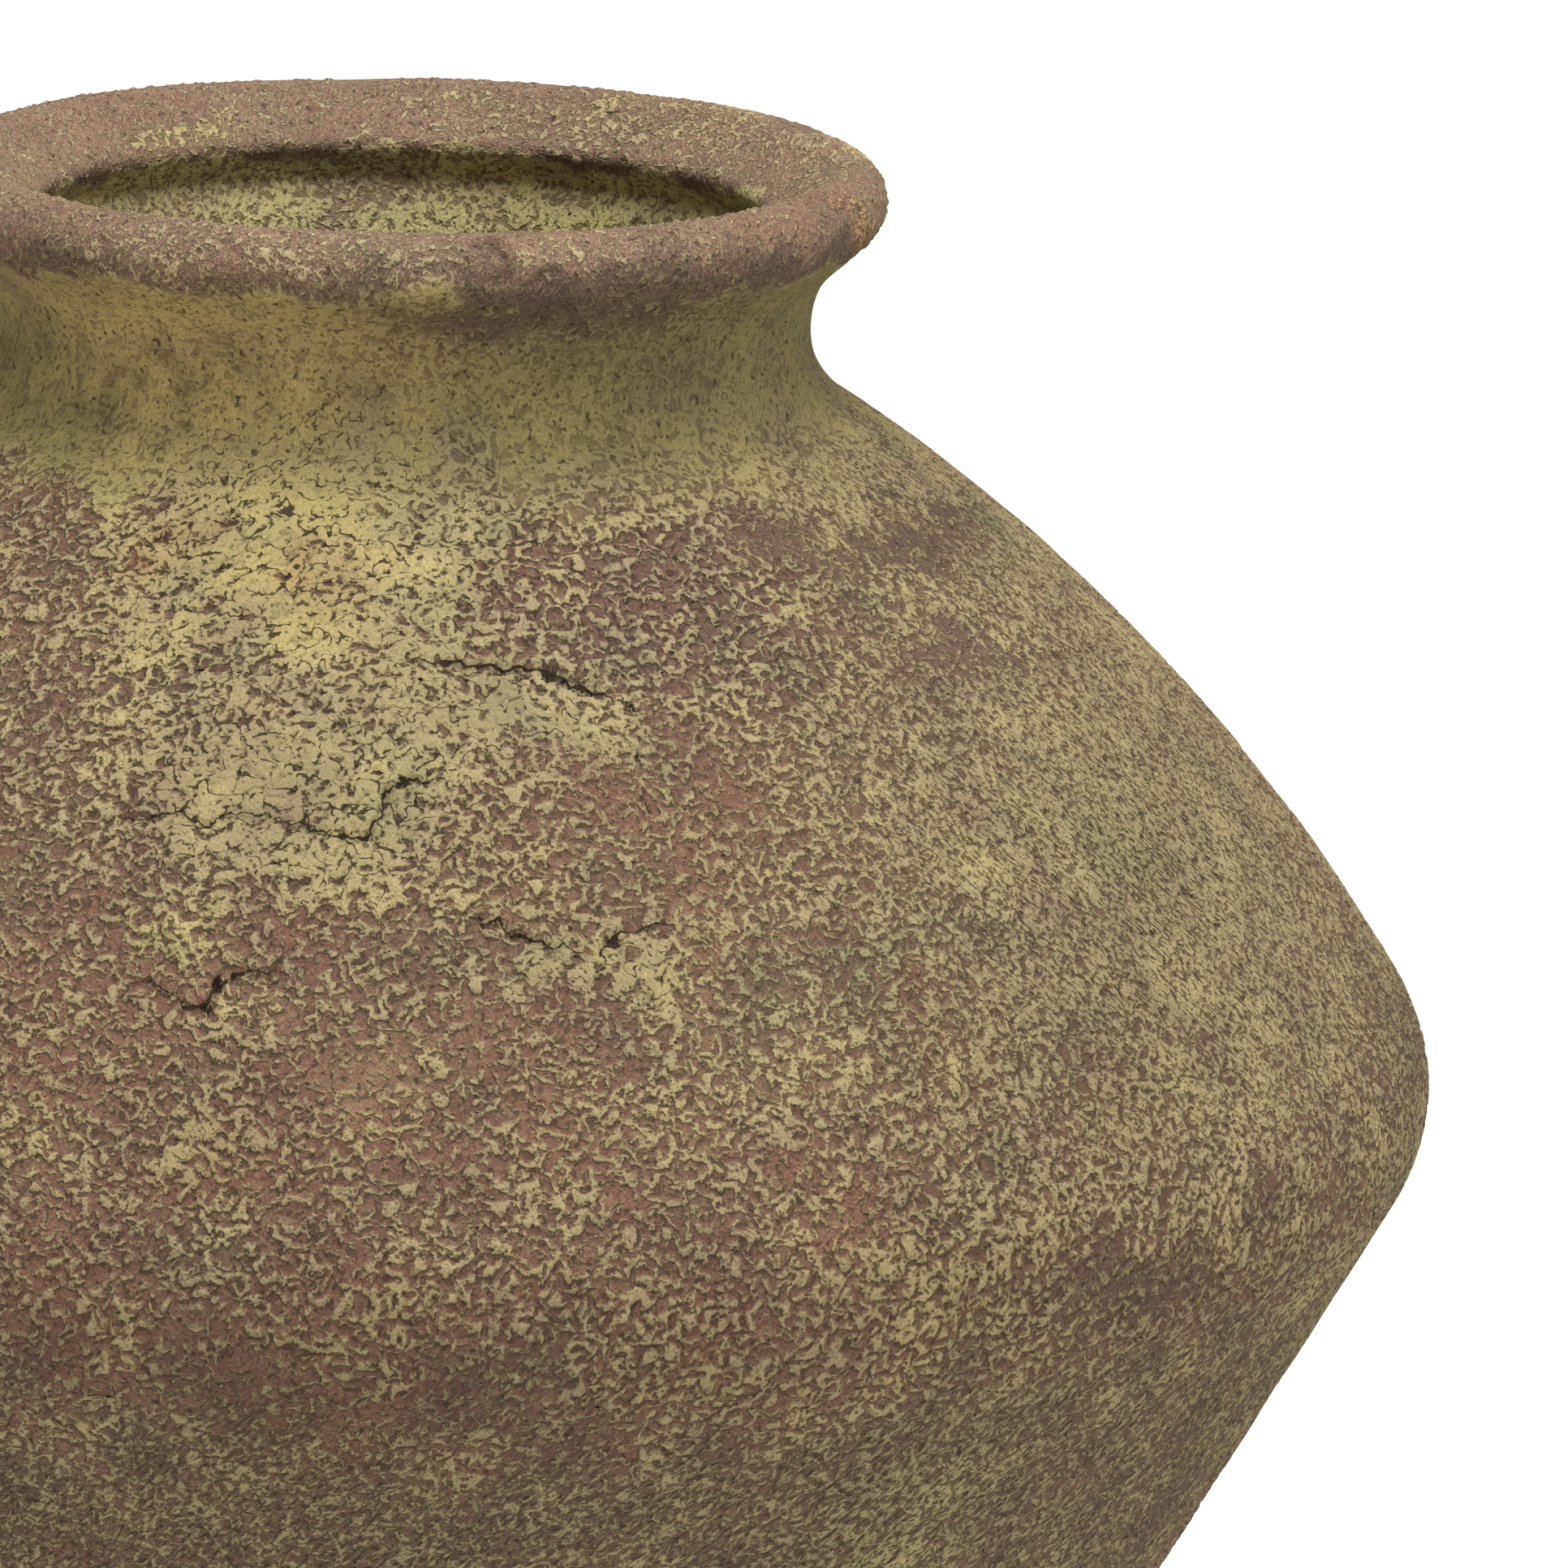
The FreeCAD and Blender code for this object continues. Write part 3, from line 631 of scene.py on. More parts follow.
        crust = mixed(self.colour("crust_khaki"), self.colour("crust_yellow"),
                      value["yellow"][..., None])
        crust = mixed(crust, self.colour("crust_green"), value["green"][..., None])
        crust = mixed(crust, self.colour("crust_orange"), value["orange"][..., None])
        clay = mixed(clay, crust * 0.85, np.clip(0.65 * smooth + 0.22 * fine, 0, 1)[..., None])
        crust = mixed(crust, clay, (0.28 * value["red"] * (1 - smooth))[..., None])
        # The dark channel scales the colours: partly the clay's own tone, partly painted shade below the
        # lip and painted light on the rim and inside the throat
        shade = (1 - 0.7 * np.clip(value["dark"], -1, 1)) * (1 + 0.05 * slow_b + 0.03 * middle)
        return {
            "relief": relief,
            "place": place,
            "upward": upward,
            "clay_colour": clay * shade[..., None],
            "crust_colour": crust * shade[..., None],
            "crust_field": np.stack([bias, value["plate"], value["speck"]], -1),
            "scar_field": np.stack([scar, scar_width, value["slit"]], -1),
            "wear_field": np.stack([smooth, fine, np.zeros(run.shape)], -1),
        }


# Turning a ring

# Rows worked out past a face's ends, so that its normals run on into the next ring
HALO = 4
# Equal parts of a turn. One is spun and then doubled, so this is a power of two.
SECTORS = 16
# Relief in millimetres above or below its surroundings that counts as a full ridge or cavity. Cavities get
# painted shade in the finish.
CAVITY_DEPTH = 0.25
# Gap in millimetres between the strips of the baking map, and how much the strips of plain inner
# faces are narrowed
STRIP_GAP, PLAIN_SHARE = 1.5, 0.3


class Face:
    """A stretch of the outline that a ring shows, with its rows of points."""

    def __init__(self, start, end, step):
        self.count = max(1, round(abs(end - start) / step))
        self.step = (end - start) / self.count
        self.start = start

    def runs(self, halo=0):
        return self.start + self.step * np.arange(-halo, self.count + 1 + halo)


def blurred(values, rounds):
    """Evens out a grid that closes round the jar, rows first."""
    for _ in range(rounds):
        values = (np.roll(values, 1, 1) + 2 * values + np.roll(values, -1, 1)) / 4
        padded = np.pad(values, ((1, 1), (0, 0)), mode="edge")
        values = (padded[:-2] + 2 * padded[1:-1] + padded[2:]) / 4
    return values


def face_grid(face, columns, outline, weather):
    """Points, normals and wear of one face of a ring, with the painted shade of its hollows, a row for each
    run.
    """
    run = face.runs(HALO)
    radius, level, out = outline.at(run)
    degrees = -180 + 360 * np.arange(columns) / columns
    shape = (len(run), columns)
    grids = [np.broadcast_to(a[:, None], shape) for a in (run, radius, level)]
    outward = np.broadcast_to(out[:, None, :], shape + (2,))
    wear = weather.at(np.broadcast_to(degrees, shape), *grids, outward)
    relief = wear.pop("relief")
    # Painted shade: how far a place lies below its blurred surroundings, which the finish darkens
    wear["wear_field"][..., 2] = np.clip((blurred(relief, 6) - relief) / CAVITY_DEPTH, -1, 1)
    angle = np.radians(degrees)[None, :]
    ring = grids[1] + relief * out[:, 0:1]
    points = np.stack([ring * np.sin(angle), -ring * np.cos(angle),
                       grids[2] + relief * out[:, 1:2]], -1)
    around = np.roll(points, -1, 1) - np.roll(points, 1, 1)
    upward = np.gradient(points, axis=0)
    normal = np.cross(around, upward)
    normal /= np.linalg.norm(normal, axis=-1, keepdims=True)
    inner = slice(HALO, -HALO)
    wear = {name: values[inner] for name, values in wear.items()}
    return points[inner], normal[inner], wear


def seam_rows(start, end):
    """Two points of the flat seam between two corners of a section."""
    return [mixed(np.array(start), np.array(end), share) for share in (1 / 3, 2 / 3)]


def turned_mesh(name, section, columns, closed=True):
    """Turns a section of (radius, height) points in millimetres once about the jar's axis.
    One sector is spun, then doubled until the turn is full, which is much quicker."""
    bm = bmesh.new()
    corners = [bm.verts.new((0.0, r * MM, z * MM)) for r, z in section]
    edges = [bm.edges.new(pair) for pair in zip(corners, corners[1:])]
    if closed:
        edges.append(bm.edges.new((corners[-1], corners[0])))
    angle = 2 * math.pi / SECTORS
    bmesh.ops.spin(bm, geom=corners + edges, cent=(0, 0, 0), axis=(0, 0, 1), dvec=(0, 0, 0),
                   angle=angle, steps=columns // SECTORS, use_merge=False, use_duplicate=False)
    while angle < 2 * math.pi - 1e-6:
        copy = bmesh.ops.duplicate(bm, geom=bm.verts[:] + bm.edges[:] + bm.faces[:])["geom"]
        bmesh.ops.rotate(bm, verts=[item for item in copy if isinstance(item, bmesh.types.BMVert)],
                         cent=(0, 0, 0), matrix=Matrix.Rotation(angle, 3, "Z"))
        angle *= 2
    bmesh.ops.remove_doubles(bm, verts=bm.verts, dist=2e-6)
    bmesh.ops.recalc_face_normals(bm, faces=bm.faces)
    mesh = bpy.data.meshes.new(name)
    bm.to_mesh(mesh)
    bm.free()
    return mesh


def read_points(mesh):
    points = np.empty(len(mesh.vertices) * 3, np.float32)
    mesh.vertices.foreach_get("co", points)
    return points.reshape(-1, 3)


def rows_and_columns(points, section, columns):
    """Which point of the section, and which step of the turn, each vertex came from."""
    angle = np.arctan2(points[:, 0], -points[:, 1])
    column = np.rint((angle + math.pi) / (2 * math.pi) * columns).astype(int) % columns
    radius = np.hypot(points[:, 0], points[:, 1]) / MM
    level = points[:, 2] / MM
    gap = ((radius[:, None] - section[None, :, 0]) ** 2
           + (level[:, None] - section[None, :, 1]) ** 2)
    return np.argmin(gap, axis=1), column


def strips(mesh, row, column, columns, lengths, shares, circumference, folds):
    """UV maps: the plain surface in metres, and the ring folded into strips for baking."""
    loops = np.empty(len(mesh.loops), int)
    mesh.loops.foreach_get("vertex_index", loops)
    starts = np.empty(len(mesh.polygons), int)
    mesh.polygons.foreach_get("loop_start", starts)
    corners = np.arange(4)[None, :] + starts[:, None]
    face_rows, face_columns = row[loops[corners]], column[loops[corners]]
    wraps = face_columns.max(1) - face_columns.min(1) > 1
    face_columns = np.where(wraps[:, None] & (face_columns == 0), columns, face_columns)
    total = len(lengths)
    wraps = face_rows.max(1) - face_rows.min(1) > 1
    face_rows = np.where(wraps[:, None] & (face_rows == 0), total, face_rows)
    height = np.r_[0, np.cumsum(lengths * shares)]
    true_height = np.r_[0, np.cumsum(lengths)]
    per_fold = columns // folds
    fold = face_columns.min(1) // per_fold
    width = circumference / folds
    pitch = height[-1] + STRIP_GAP
    scale = 1 / max(width + 2 * STRIP_GAP, pitch * folds + STRIP_GAP)
    u = (face_columns - fold[:, None] * per_fold) / per_fold * width + STRIP_GAP
    v = height[face_rows] + fold[:, None] * pitch + STRIP_GAP
    surface_u = (face_columns / columns - 0.5) * 2 * math.pi * SURFACE_RADIUS
    for name, across, up in (("Surface", surface_u * MM, true_height[face_rows] * MM),
                             ("OFBake", u * scale, v * scale)):
        layer = mesh.uv_layers.new(name=name, do_init=False)
        flat = np.empty((len(mesh.loops), 2), np.float32)
        flat[corners.ravel()] = np.stack([across.ravel(), up.ravel()], 1)
        layer.uv.foreach_set("vector", flat.ravel())
    return loops, corners


def crusted_ring(name, faces, radius, slot, inner_share=1.0):
    """Makes one course: turns its section, then pushes the shown faces into relief."""
    outline, weather = outline_and_weather()
    circumference = 2 * math.pi * radius
    section, kind = [], []
    for index, face in enumerate(faces):
        r, z, _ = outline.at(face.runs())
        next_r, next_z, _ = outline.at(faces[(index + 1) % len(faces)].runs()[:1])
        seam = seam_rows((r[-1], z[-1]), (next_r[0], next_z[0]))
        section += list(np.stack([r, z], 1)) + seam
        kind += [index] * len(r) + [-1] * len(seam)
    section, kind = np.array(section), np.array(kind)
    shares = np.where(kind == 0, 1.0, inner_share)
    lengths = np.hypot(*(np.roll(section, -1, 0) - section).T)
    tall = float((lengths * shares).sum()) + STRIP_GAP
    folds = max(1, round(math.sqrt(circumference / tall)))
    step = weather.crust.mesh_step / MM
    columns = round(circumference / step / (folds * SECTORS)) * folds * SECTORS
    mesh = turned_mesh(name, section, columns)
    row, column = rows_and_columns(read_points(mesh), section, columns)
    loops, corners = strips(mesh, row, column, columns, lengths, shares, circumference, folds)
    angle = -math.pi + 2 * math.pi * np.arange(columns) / columns
    points = np.stack([section[:, 0:1] * np.sin(angle), -section[:, 0:1] * np.cos(angle),
                       np.broadcast_to(section[:, 1:2], (len(section), columns))], -1)
    normals = np.zeros(points.shape)
    wear = {}
    for index, face in enumerate(faces):
        rows = np.flatnonzero(kind == index)
        face_points, face_normals, face_wear = face_grid(face, columns, outline, weather)
        points[rows], normals[rows] = face_points, face_normals
        for field, values in face_wear.items():
            if field not in wear:
                wear[field] = np.zeros((len(section),) + values.shape[1:])
            wear[field][rows] = values
    place = points[row, column] * MM
    mesh.vertices.foreach_set("co", place.astype(np.float32).ravel())
    for field, values in wear.items():
        add_field(mesh, field, values[row, column])
    mesh.update()
    shade_with(mesh, loops, corners, kind[row], normals[row, column])
    finished(name, mesh, slot)


def add_field(mesh, name, values):
    """Stores values for every vertex under a name that the finishes read."""
    if name.endswith("colour"):
        layer = mesh.attributes.new(name, "FLOAT_COLOR", "POINT")
        full = np.ones((len(mesh.vertices), 4), np.float32)
        full[:, :3] = values
        layer.data.foreach_set("color", full.ravel())
    else:
        layer = mesh.attributes.new(name, "FLOAT_VECTOR", "POINT")
        layer.data.foreach_set("vector", values.astype(np.float32).ravel())


def shade_with(mesh, loops, corners, kind, normals):
    """Smooth shading that runs on unbroken from ring to ring; seams stay flat."""
    mesh.polygons.foreach_set("use_smooth", np.ones(len(mesh.polygons), bool))
    flat = np.empty(len(mesh.polygons) * 3, np.float32)
    mesh.polygons.foreach_get("normal", flat)
    face_normals = flat.reshape(-1, 3)
    face_kind = kind[loops[corners]]
    shown = (face_kind >= 0).all(1) & (face_kind.max(1) == face_kind.min(1))
    corner_normals = normals[loops[corners]]
    facing = (corner_normals * face_normals[:, None, :]).sum(-1)
    corner_normals = np.where((facing < 0)[..., None], -corner_normals, corner_normals)
    chosen = np.where(shown[:, None, None], corner_normals, face_normals[:, None, :])
    result = np.empty((len(loops), 3), np.float32)
    result[corners.ravel()] = chosen.reshape(-1, 3)
    mesh.normals_split_custom_set(result.tolist())


def finished(name, mesh, slot):
    """Gives a mesh its finish and sets it in the frame in place of its CAD node."""
    piece = bpy.data.objects.new(name + "_clay", mesh)
    bpy.context.scene.collection.objects.link(piece)
    mesh.materials.append(finish_called(slot))
    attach(piece, "root")
    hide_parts(name)


# Finishes

# How rough bare clay and crust are, and how much light they throw back straight
CLAY_ROUGHNESS, CRUST_ROUGHNESS, SHEEN = 0.82, 0.95, 0.25


class Bench:
    """Short ways to add and wire the nodes of a material."""

    def __init__(self, material):
        material.use_nodes = True
        self.tree = material.node_tree
        self.tree.nodes.clear()

    def feed(self, socket, value):
        if isinstance(value, bpy.types.NodeSocket):
            self.tree.links.new(value, socket)
        elif value is not None:
            socket.default_value = value

    def node(self, kind, inputs=(), **settings):
        node = self.tree.nodes.new(kind)
        for name, value in settings.items():
            setattr(node, name, value)
        for key, value in dict(inputs).items():
            self.feed(node.inputs[key], value)
        return node

    def maths(self, operation, first, second=None, third=None):
        node = self.node("ShaderNodeMath", operation=operation)
        for index, value in enumerate((first, second, third)):
            self.feed(node.inputs[index], value)
        return node.outputs[0]

    def add(self, *values):
        total = values[0]
        for value in values[1:]:
            total = self.maths("ADD", total, value)
        return total

    def less(self, first, second):
        return self.maths("SUBTRACT", first, second)

    def line(self, value, gain, base):
        """Base plus gain times a value."""
        return self.maths("MULTIPLY_ADD", value, gain, base)

    def most(self, *values):
        """The largest of some values."""
        total = values[0]
        for value in values[1:]:
            total = self.maths("MAXIMUM", total, value)
        return total

    def times(self, *values):
        total = values[0]
        for value in values[1:]:
            total = self.maths("MULTIPLY", total, value)
        return total

    def step(self, value, low, high):
        """Rises smoothly from 0 at low to 1 at high."""
        node = self.node("ShaderNodeMapRange", {"Value": value, "From Min": low, "From Max": high},
                         interpolation_type="SMOOTHSTEP")
        return node.outputs["Result"]

    def blend(self, first, second, share):
        node = self.node("ShaderNodeMix", data_type="FLOAT")
        for key, value in (("Factor", share), ("A", first), ("B", second)):
            self.feed(node.inputs[key], value)
        return node.outputs[0]

    def tint(self, first, second, share, way="MIX"):
        node = self.node("ShaderNodeMix", data_type="RGBA", blend_type=way)
        for index, value in ((0, share), (6, first), (7, second)):
            self.feed(node.inputs[index], value)
        return node.outputs[2]

    def grey(self, value):
        """One number as a grey, to multiply a colour by."""
        node = self.node("ShaderNodeCombineColor")
        for index in range(3):
            self.feed(node.inputs[index], value)
        return node.outputs[0]

    def along(self, start, direction, reach):
        """A place moved some way along a direction."""
        return self.node("ShaderNodeVectorMath", {0: direction, 1: (reach,) * 3, 2: start},
                         operation="MULTIPLY_ADD").outputs[0]

    def noise(self, place, size, shift=0.0):
        """The noise that the mesh reads too, with a spread of one."""
        spot = self.along((shift,) * 3, place, 1 / size)
        node = self.node("ShaderNodeTexNoise", {"Vector": spot, "Scale": 1.0, "Detail": 0.0})
        return self.line(node.outputs[0], 2 / NOISE_SPREAD, -1 / NOISE_SPREAD)

    def stored(self, name):
        return self.node("ShaderNodeAttribute", attribute_name=name).outputs["Vector"]

    def split(self, name):
        """The three numbers of a stored field."""
        field = self.node("ShaderNodeAttribute", attribute_name=name)
        parts = self.node("ShaderNodeSeparateXYZ", {0: field.outputs["Vector"]})
        return parts.outputs[0], parts.outputs[1], parts.outputs[2]

    def stored_colour(self, name):
        return self.node("ShaderNodeAttribute", attribute_name=name).outputs["Color"]


def leaning(bench, surface, angle, along_mm, across_mm, shift):
    """Noise drawn out at an angle to the surface, with a spread of one."""
    turned = bench.node("ShaderNodeVectorRotate", {"Vector": surface, "Angle": angle},
                        rotation_type="Z_AXIS")
    scaled = bench.node("ShaderNodeVectorMath",
                        {0: turned.outputs[0], 1: (1 / (along_mm * MM), 1 / (across_mm * MM), 1.0)},
                        operation="MULTIPLY")
    return bench.noise(scaled.outputs[0], 1.0, shift)


def crust_pattern(bench, bent):
    """Worms of crust, joined by winding ridges."""
    winding = bench.maths("ABSOLUTE", bench.noise(bent, *WINDING))
    worms = bench.line(bench.noise(bent, *WORMS), WORM_SHARE, PATTERN_LEVEL)
    return bench.line(winding, -WINDING_SHARE, worms)


def read_skin(bench):
    """The stored fields and the noises that the steps of the finish share."""
    skin = SimpleNamespace()
    place, upward = bench.stored("place"), bench.stored("upward")
    skin.surface = bench.node("ShaderNodeUVMap", uv_map="Surface").outputs[0]
    skin.bias, skin.plate, skin.speck = bench.split("crust_field")
    skin.scar, skin.scar_width, skin.slit = bench.split("scar_field")
    skin.smooth, skin.fine, skin.cavity = bench.split("wear_field")
    skin.rough = bench.less(1.0, skin.smooth)
    swirl = bench.node("ShaderNodeCombineXYZ")
    for index, warp in enumerate(WARPS):
        bench.feed(swirl.inputs[index], bench.noise(place, *warp))
    skin.bent = bench.along(place, swirl.outputs[0], WARP_REACH)
    skin.above = bench.along(skin.bent, upward, LOOK_UP)
    skin.grit = bench.noise(place, *GRIT)
    skin.dust = bench.noise(place, *DUST)
    skin.spread = bench.noise(place, *SPREAD)
    skin.holes = bench.noise(place, *HOLES)
    return skin


def grow_crust(bench, skin):
    """Where crust lies on the clay, which is where its level is above nought."""
    skin.pattern = crust_pattern(bench, skin.bent)
    skin.level = bench.add(
        bench.times(skin.pattern, bench.line(skin.fine, -COARSE_LOSS, 1.0)),
        bench.times(bench.noise(skin.bent, *LUMPS), bench.line(skin.fine, LUMP_GAIN, LUMP_BASE)),
        bench.times(skin.grit, bench.line(skin.fine, 0.26, 0.10)),
        skin.bias, bench.times(skin.dust, 0.05))
    soft = bench.line(skin.fine, 0.18, 0.10)
    edge = bench.step(bench.maths("DIVIDE", skin.level, soft), -1.0, 1.0)
    worn = bench.times(edge, bench.line(skin.fine, -0.1, 1.0), bench.line(skin.smooth, -0.4, 1.0))
    skin.cover = bench.add(worn, bench.times(skin.smooth, 0.35))
    skin.top = bench.step(skin.level, -0.2, 0.9)


def open_gaps(bench, skin):
    """Dirt and painted shade in the cracks between plates, in scars and in holes, painted shadow under
    overhanging crust, and dirt in slits and streaks.
    """
    gate = bench.add(bench.times(skin.spread, 0.7), bench.times(skin.holes, 0.5))
    split_here = bench.noise(skin.bent, *SPLITS)
    falls = bench.less(bench.noise(skin.above, *SPLITS), split_here)
    width = bench.times(bench.step(falls, -0.08, 0.12), bench.step(gate, -1.3, -0.1),
                        skin.plate, 0.44)
    gap = bench.maths("ABSOLUTE", bench.add(split_here, bench.times(skin.grit, 0.10)))
    crack = bench.step(bench.less(width, gap), -0.07, 0.10)
    # Painted shadow along the lower edge of crust that overhangs the clay below it
    hangs = bench.less(crust_pattern(bench, skin.above), skin.pattern)
    sharp = bench.times(bench.line(skin.fine, -0.75, 1.0), bench.line(skin.smooth, -0.6, 1.0))
    undercut_shadow = bench.times(
        bench.step(hangs, 0.0, 0.25), bench.step(skin.level, -1.25, -0.60),
        bench.less(1.0, bench.step(skin.level, -0.08, 0.16)), bench.step(gate, -1.3, -0.2), sharp)
    hole = bench.times(bench.step(bench.add(skin.holes, bench.times(skin.grit, 0.2)), 1.7, 2.1),
                       bench.most(sharp, 0.75))
    gap = bench.add(bench.maths("ABSOLUTE", skin.scar), bench.times(skin.grit, 0.045))
    scar = bench.step(bench.less(skin.scar_width, gap), -0.08, 0.12)
    # The sign of the slit channel tells which way they lean
    lean = bench.blend(math.radians(LEAN_LOWER), math.radians(LEAN_SHOULDER),
                       bench.maths("GREATER_THAN", skin.slit, 0.0))
    amount = bench.maths("ABSOLUTE", skin.slit)
    ragged = bench.add(leaning(bench, skin.surface, lean, *SLITS), bench.times(skin.grit, 0.3))
    slot = bench.times(bench.step(ragged, 1.0, 1.36), amount)
    skin.streaks = leaning(bench, skin.surface, lean, *STREAKS)
    streak = bench.times(bench.step(skin.streaks, 0.3, 1.6), amount, 0.30)
    # Dirt and painted shade in cracks, scars and holes, painted shadow under overhanging crust, dirt in
    # slits and streaks
    skin.dark = bench.most(bench.times(crack, 0.92), bench.times(undercut_shadow, 0.9), hole,
                           bench.times(slot, 0.9), streak, scar)


def painted(bench, skin, dirt):
    """The colour of clay, crust and dirt, with painted shade in the hollows and cracks, painted shadow
    under overhanging crust and a painted highlight on the crust's tops.
    """
    mottled = bench.grey(bench.add(1.0, bench.times(skin.grit, 0.08), bench.times(skin.dust, 0.06)))
    crust_colour = bench.stored_colour("crust_colour")
    wash = bench.step(bench.add(skin.level, bench.times(skin.grit, 0.3),
                                bench.times(skin.spread, 0.8)), -1.6, -0.1)
    clay = bench.tint(bench.stored_colour("clay_colour"), crust_colour, bench.times(wash, 0.24))
    clay = bench.tint(clay, mottled, 1.0, "MULTIPLY")
    specks = bench.step(bench.add(
        skin.dust, bench.times(skin.grit, 0.5),
        bench.times(skin.streaks, bench.line(skin.speck, 1.6, -0.56))), 1.1, 1.9)
    clay = bench.tint(clay, crust_colour, bench.times(specks, skin.speck))
    # Crust mottled by grit and dust, with a painted highlight on the tops of its ridges
    crust_mottle_and_highlight = bench.grey(bench.add(0.88, bench.times(skin.grit, 0.06),
                                       bench.times(skin.dust, 0.05), bench.times(skin.top, 0.14)))
    crust = bench.tint(crust_colour, crust_mottle_and_highlight, 1.0, "MULTIPLY")
    colour = bench.tint(clay, crust, skin.cover)
    # Painted shade in the hollows of the relief
    hollow = bench.less(1.0, bench.times(bench.most(skin.cavity, 0.0), 0.35))
    colour = bench.tint(colour, bench.grey(hollow), 1.0, "MULTIPLY")
    # The dirt colour where skin.dark is: dirt and painted shade in cracks, scars and holes, painted shadow
    # under overhanging crust, dirt in slits
    return bench.tint(colour, tuple(dirt[:]) + (1.0,), skin.dark)


def clay_finish(name, colours):
    """Bare clay under a broken crust: worms, plates, cracks, slits and dirt, with painted shade, shadow and
    highlights.
    """
    material = bpy.data.materials.new(name)
    bench = Bench(material)
    skin = read_skin(bench)
    grow_crust(bench, skin)
    open_gaps(bench, skin)
    # Relief too small for the mesh, in millimetres
    height = bench.add(bench.times(skin.top, 0.30, skin.rough), bench.times(skin.cover, 0.14),
                       bench.times(skin.grit, 0.03), bench.times(skin.dust, 0.014),
                       bench.times(skin.dark, -0.25))
    bump = bench.node("ShaderNodeBump", {"Height": bench.times(height, MM),
                                         "Strength": 1.0, "Distance": 1.0})
    shader = bench.node("ShaderNodeBsdfPrincipled", {
        "Base Color": painted(bench, skin, colours.crack_dirt_and_shade),
        "Roughness": bench.blend(CLAY_ROUGHNESS, CRUST_ROUGHNESS, skin.cover),
        "Specular IOR Level": SHEEN, "Normal": bump.outputs[0]})
    output = bench.node("ShaderNodeOutputMaterial", {"Surface": shader.outputs[0]})
    output.is_active_output = True
    return material


def finish_called(slot):
    """The weathered finish, with its painted light and shade, of a material slot, made once."""
    name = "weathered_" + slot
    return bpy.data.materials.get(name) or clay_finish(name, bpy.context.scene.pithos_colours)


# Operators

# The pieces from the ground up, as the CAD nodes are named
LOWER_COURSES = ["lower_course_%d" % number for number in range(1, 5)]
SHOULDER_COURSES = ["shoulder_course_%d" % number for number in range(1, 5)]
PIECES = ["base_slab", *LOWER_COURSES, "belly_course", *SHOULDER_COURSES, "neck_collar", "rim_roll"]
# Mean radius in millimetres of the lip's face, which sets how many columns it has
LIP_RADIUS = 84.0
# Rings of points on each flat face of the base slab, and a distance in millimetres that is nought
BASE_RINGS, CLOSE = 40, 0.01
# Each lamp's name, setting, size and place in metres, and the height that they are turned to
LAMPS = (("key_lamp", "key_power", 1.7, (0.15, -0.55, 2.25)),
         ("fill_lamp", "fill_power", 1.6, (2.0, -1.2, 1.1)))
LAMP_AIM = 0.24
# Half the floor's side in metres, the strength of a glow on it that only the camera sees, and the
# width of the camera's sensor in millimetres
FLOOR_REACH, FLOOR_GLOW, SENSOR_WIDTH = 14.0, 0.75, 36.0

kit = {}


def outline_and_weather():
    """The outline and the weather, worked out once for all the courses."""
    if not kit:
        scene = bpy.context.scene
        kit["outline"] = Outline(scene.pithos_sizes)
        kit["weather"] = Weather(scene.pithos_crust, scene.pithos_colours)
    return kit["outline"], kit["weather"]


def seam_under(name):
    """Height in millimetres of the seam under a piece, read from its CAD node."""
    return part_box(name)[0][2] / MM


def make_course(name, slot, inner_step=None):
    """A course between the seam under it and the seam under the piece above it."""
    outline, weather = outline_and_weather()
    low, high = seam_under(name), seam_under(PIECES[PIECES.index(name) + 1])
    step = weather.crust.mesh_step / MM
    inner_share = 1.0 if inner_step else PLAIN_SHARE
    inner_step = inner_step or weather.crust.inner_step / MM
    outer = Face(outline.outside(low), outline.outside(high), step)
    inner = Face(outline.inside(high), outline.inside(low), inner_step)
    radius = float(outline.at(outer.runs())[0].mean())
    crusted_ring(name, [outer, inner], radius, slot, inner_share)


